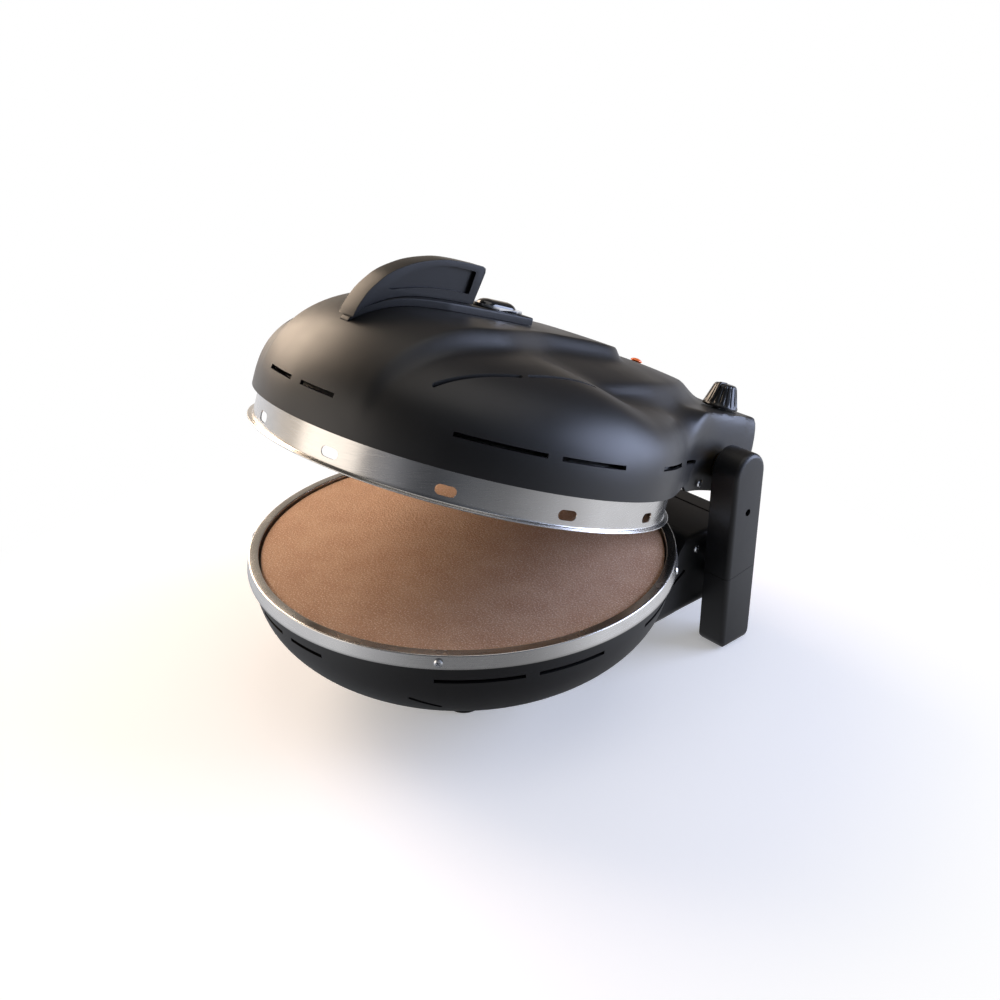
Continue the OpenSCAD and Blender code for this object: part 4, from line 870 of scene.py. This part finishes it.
# studio
studio = {"lens": 41.5, "sensor": 36.0, "shift": -0.0413, "azimuth": 48.99, "elevation": 24.01,
          "eye": (0.6167, -0.4987, 0.4217), "floorSize": 4.0, "floorLift": 0.3, "fadeFrom": 0.28,
          "fadeTo": 0.5,
          "dimFrom": 0.08, "dimTo": 0.42, "darkSide": (0.8, -0.6, 0.0), "glow": 0.45, "room": 0.13}
camera = bpy.data.cameras.new("camera")
camera.lens, camera.sensor_width, camera.sensor_fit = studio["lens"], studio["sensor"], "HORIZONTAL"
camera.shift_y = studio["shift"]
cameraObject = bpy.data.objects.new("camera", camera)
bpy.context.scene.collection.objects.link(cameraObject)
azimuth, elevation = math.radians(studio["azimuth"]), math.radians(studio["elevation"])
backward = Vector((math.sin(azimuth) * math.cos(elevation), -math.cos(azimuth) * math.cos(elevation),
                   math.sin(elevation)))
facing = backward.to_track_quat("Z", "Y").to_matrix().to_4x4()
cameraObject.matrix_world = Matrix.Translation(studio["eye"]) @ facing
bpy.context.scene.camera = cameraObject


def band(tree, value, start, end, low=0.0, high=1.0):
    # an eased step from low at start to high at end
    settings = {"interpolation_type": "SMOOTHSTEP", "From Min": start, "From Max": end, "To Min": low,
                "To Max": high}
    return addNode(tree, "ShaderNodeMapRange", settings, Value=value).outputs["Result"]


def towards(tree, vector):
    # how far a direction points to the dark side of the room
    node = addNode(tree, "ShaderNodeVectorMath", {"operation": "DOT_PRODUCT"}, i0=vector)
    node.inputs[1].default_value = studio["darkSide"]
    return node.outputs["Value"]


floorMat, tree, bsdf, coords = newMaterial("seamlessPaper", Roughness=0.95, Specular_IOR_Level=0.0)
bsdf.inputs["Base Color"].default_value = linear("#f4f4f6")
rays = addNode(tree, "ShaderNodeLightPath")
seen = addNode(tree, "ShaderNodeMath", {"operation": "MAXIMUM"}, i0=rays.outputs["Is Camera Ray"],
               i1=rays.outputs["Is Glossy Ray"]).outputs[0]
seen = addNode(tree, "ShaderNodeMath", {"operation": "MAXIMUM"}, i0=seen,
               i1=rays.outputs["Is Transmission Ray"]).outputs[0]
reach = addNode(tree, "ShaderNodeVectorMath", {"operation": "LENGTH"}, i0=coords).outputs["Value"]
lift = {"operation": "MULTIPLY", 1: studio["floorLift"]}
strength = addNode(tree, "ShaderNodeMath", lift, i0=seen).outputs[0]
glow = addNode(tree, "ShaderNodeEmission", {"Color": linear("#ffffff")}, Strength=strength).outputs[0]
lit = addNode(tree, "ShaderNodeAddShader", i0=bsdf.outputs[0], i1=glow).outputs[0]
# away from the object the paper runs into the white background
away = band(tree, reach, studio["fadeFrom"], studio["fadeTo"])
fade = addNode(tree, "ShaderNodeMath", {"operation": "MULTIPLY"}, i0=away, i1=seen).outputs[0]
white = addNode(tree, "ShaderNodeEmission", {"Color": linear("#ffffff"), "Strength": 1.0}).outputs[0]
both = addNode(tree, "ShaderNodeMixShader", i0=fade, i1=lit, i2=white).outputs[0]
# in reflections the paper is an emission with painted shade: a painted shadow under the object, and painted
# shade towards the dark side of the room
near = spread(tree, reach, 0.0, 1.0, studio["dimFrom"], studio["dimTo"])
heading = addNode(tree, "ShaderNodeVectorMath", {"operation": "NORMALIZE"}, i0=coords).outputs[0]
aside = spread(tree, towards(tree, heading), 1.0, 0.3, 0.5, 0.95)
level = addNode(tree, "ShaderNodeMath", {"operation": "MULTIPLY"}, i0=near, i1=aside).outputs[0]
# painted reflection of the paper: its strength is the painted shadow and painted shade above
paintedShadePaper = addNode(tree, "ShaderNodeEmission", {"Color": linear("#f2f4fa")}, Strength=level).outputs[0]
both = addNode(tree, "ShaderNodeMixShader", i0=rays.outputs["Is Glossy Ray"], i1=both,
               i2=paintedShadePaper).outputs[0]
tree.links.new(both, [n for n in tree.nodes if n.type == "OUTPUT_MATERIAL"][0].inputs["Surface"])
size, z = studio["floorSize"], min(float(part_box(n)[0].z) for n in nodes)
floor = pieceFrom("studioFloor", [(-size, -size, z), (size, -size, z), (size, size, z), (-size, size, z)],
                  [(0, 1, 2, 3)])
floor.data.materials.append(floorMat)

world = bpy.data.worlds.new("studioWorld")
bpy.context.scene.world = world
world.use_nodes = True
tree = world.node_tree
tree.nodes.clear()
direction = addNode(tree, "ShaderNodeTexCoord").outputs["Generated"]
parts = addNode(tree, "ShaderNodeSeparateXYZ", Vector=direction)

# a white sweep near the horizon, brighter and warm on the left, cool on the right, over a dimmer room
across = parts.outputs["X"]
level = band(tree, parts.outputs["Z"], 0.0, 0.3, 1.0, 0.0)
left, right = band(tree, across, -0.35, -0.95, 0.0, 0.75), band(tree, across, 0.4, 0.95, 0.0, 0.7)
sides = addNode(tree, "ShaderNodeMath", {"operation": "ADD"}, i0=left, i1=right).outputs[0]
glowing = addNode(tree, "ShaderNodeMath", {"operation": "ADD"}, i0=level, i1=sides).outputs[0]
dimming = {"operation": "MULTIPLY_ADD", 1: studio["glow"], 2: studio["room"]}
room = addNode(tree, "ShaderNodeMath", dimming, i0=glowing).outputs[0]
shade = band(tree, towards(tree, direction), 0.7, 0.93, 1.0, 0.15)
scaled = addNode(tree, "ShaderNodeMath", {"operation": "MULTIPLY"}, i0=room, i1=shade).outputs[0]
warmCool = addNode(tree, "ShaderNodeValToRGB", Fac=band(tree, across, -0.8, 0.8))
for end, colour in zip(warmCool.color_ramp.elements, ("#fdeedd", "#dde8fd")):
    end.color = linear(colour)
rays = addNode(tree, "ShaderNodeLightPath")
direct = addNode(tree, "ShaderNodeMath", {"operation": "MAXIMUM"}, i0=rays.outputs["Is Camera Ray"],
                 i1=rays.outputs["Is Transmission Ray"]).outputs[0]
dim = addNode(tree, "ShaderNodeBackground", Color=warmCool.outputs["Color"], Strength=scaled).outputs[0]
white = addNode(tree, "ShaderNodeBackground", {"Color": linear("#ffffff"), "Strength": 1.0}).outputs[0]
choice = addNode(tree, "ShaderNodeMixShader", i0=direct, i1=dim, i2=white).outputs[0]
addNode(tree, "ShaderNodeOutputWorld", Surface=choice)

lamps = {
    "overheadSoft": {"at": (0.3, 0.2, 2.2), "size": 2.0, "power": 11.0, "colour": "#fffaf4"},
    "frontFill": {"at": (-0.8, -2.0, 0.5), "size": 1.5, "power": 11.0, "colour": "#fff4e8"},
    "leftCard": {"at": (-1.9, -0.3, 1.0), "size": 1.4, "power": 52.0, "colour": "#ffe6cc"},
    "rightCard": {"at": (1.4, 1.8, 0.5), "size": 1.7, "power": 72.0, "colour": "#cfdcff"},
}
for name, one in lamps.items():
    light = bpy.data.lights.new(name, "AREA")
    light.shape, light.size = "SQUARE", one["size"]
    light.energy, light.color = one["power"], linear(one["colour"])[:3]
    lamp = bpy.data.objects.new(name, light)
    facing = (Vector(one["at"]) - Vector((0, 0, 0.02))).to_track_quat("Z", "Y").to_matrix().to_4x4()
    lamp.matrix_world = Matrix.Translation(one["at"]) @ facing
    bpy.context.scene.collection.objects.link(lamp)
bpy.context.scene.view_settings.view_transform = "Standard"
print("studio made")
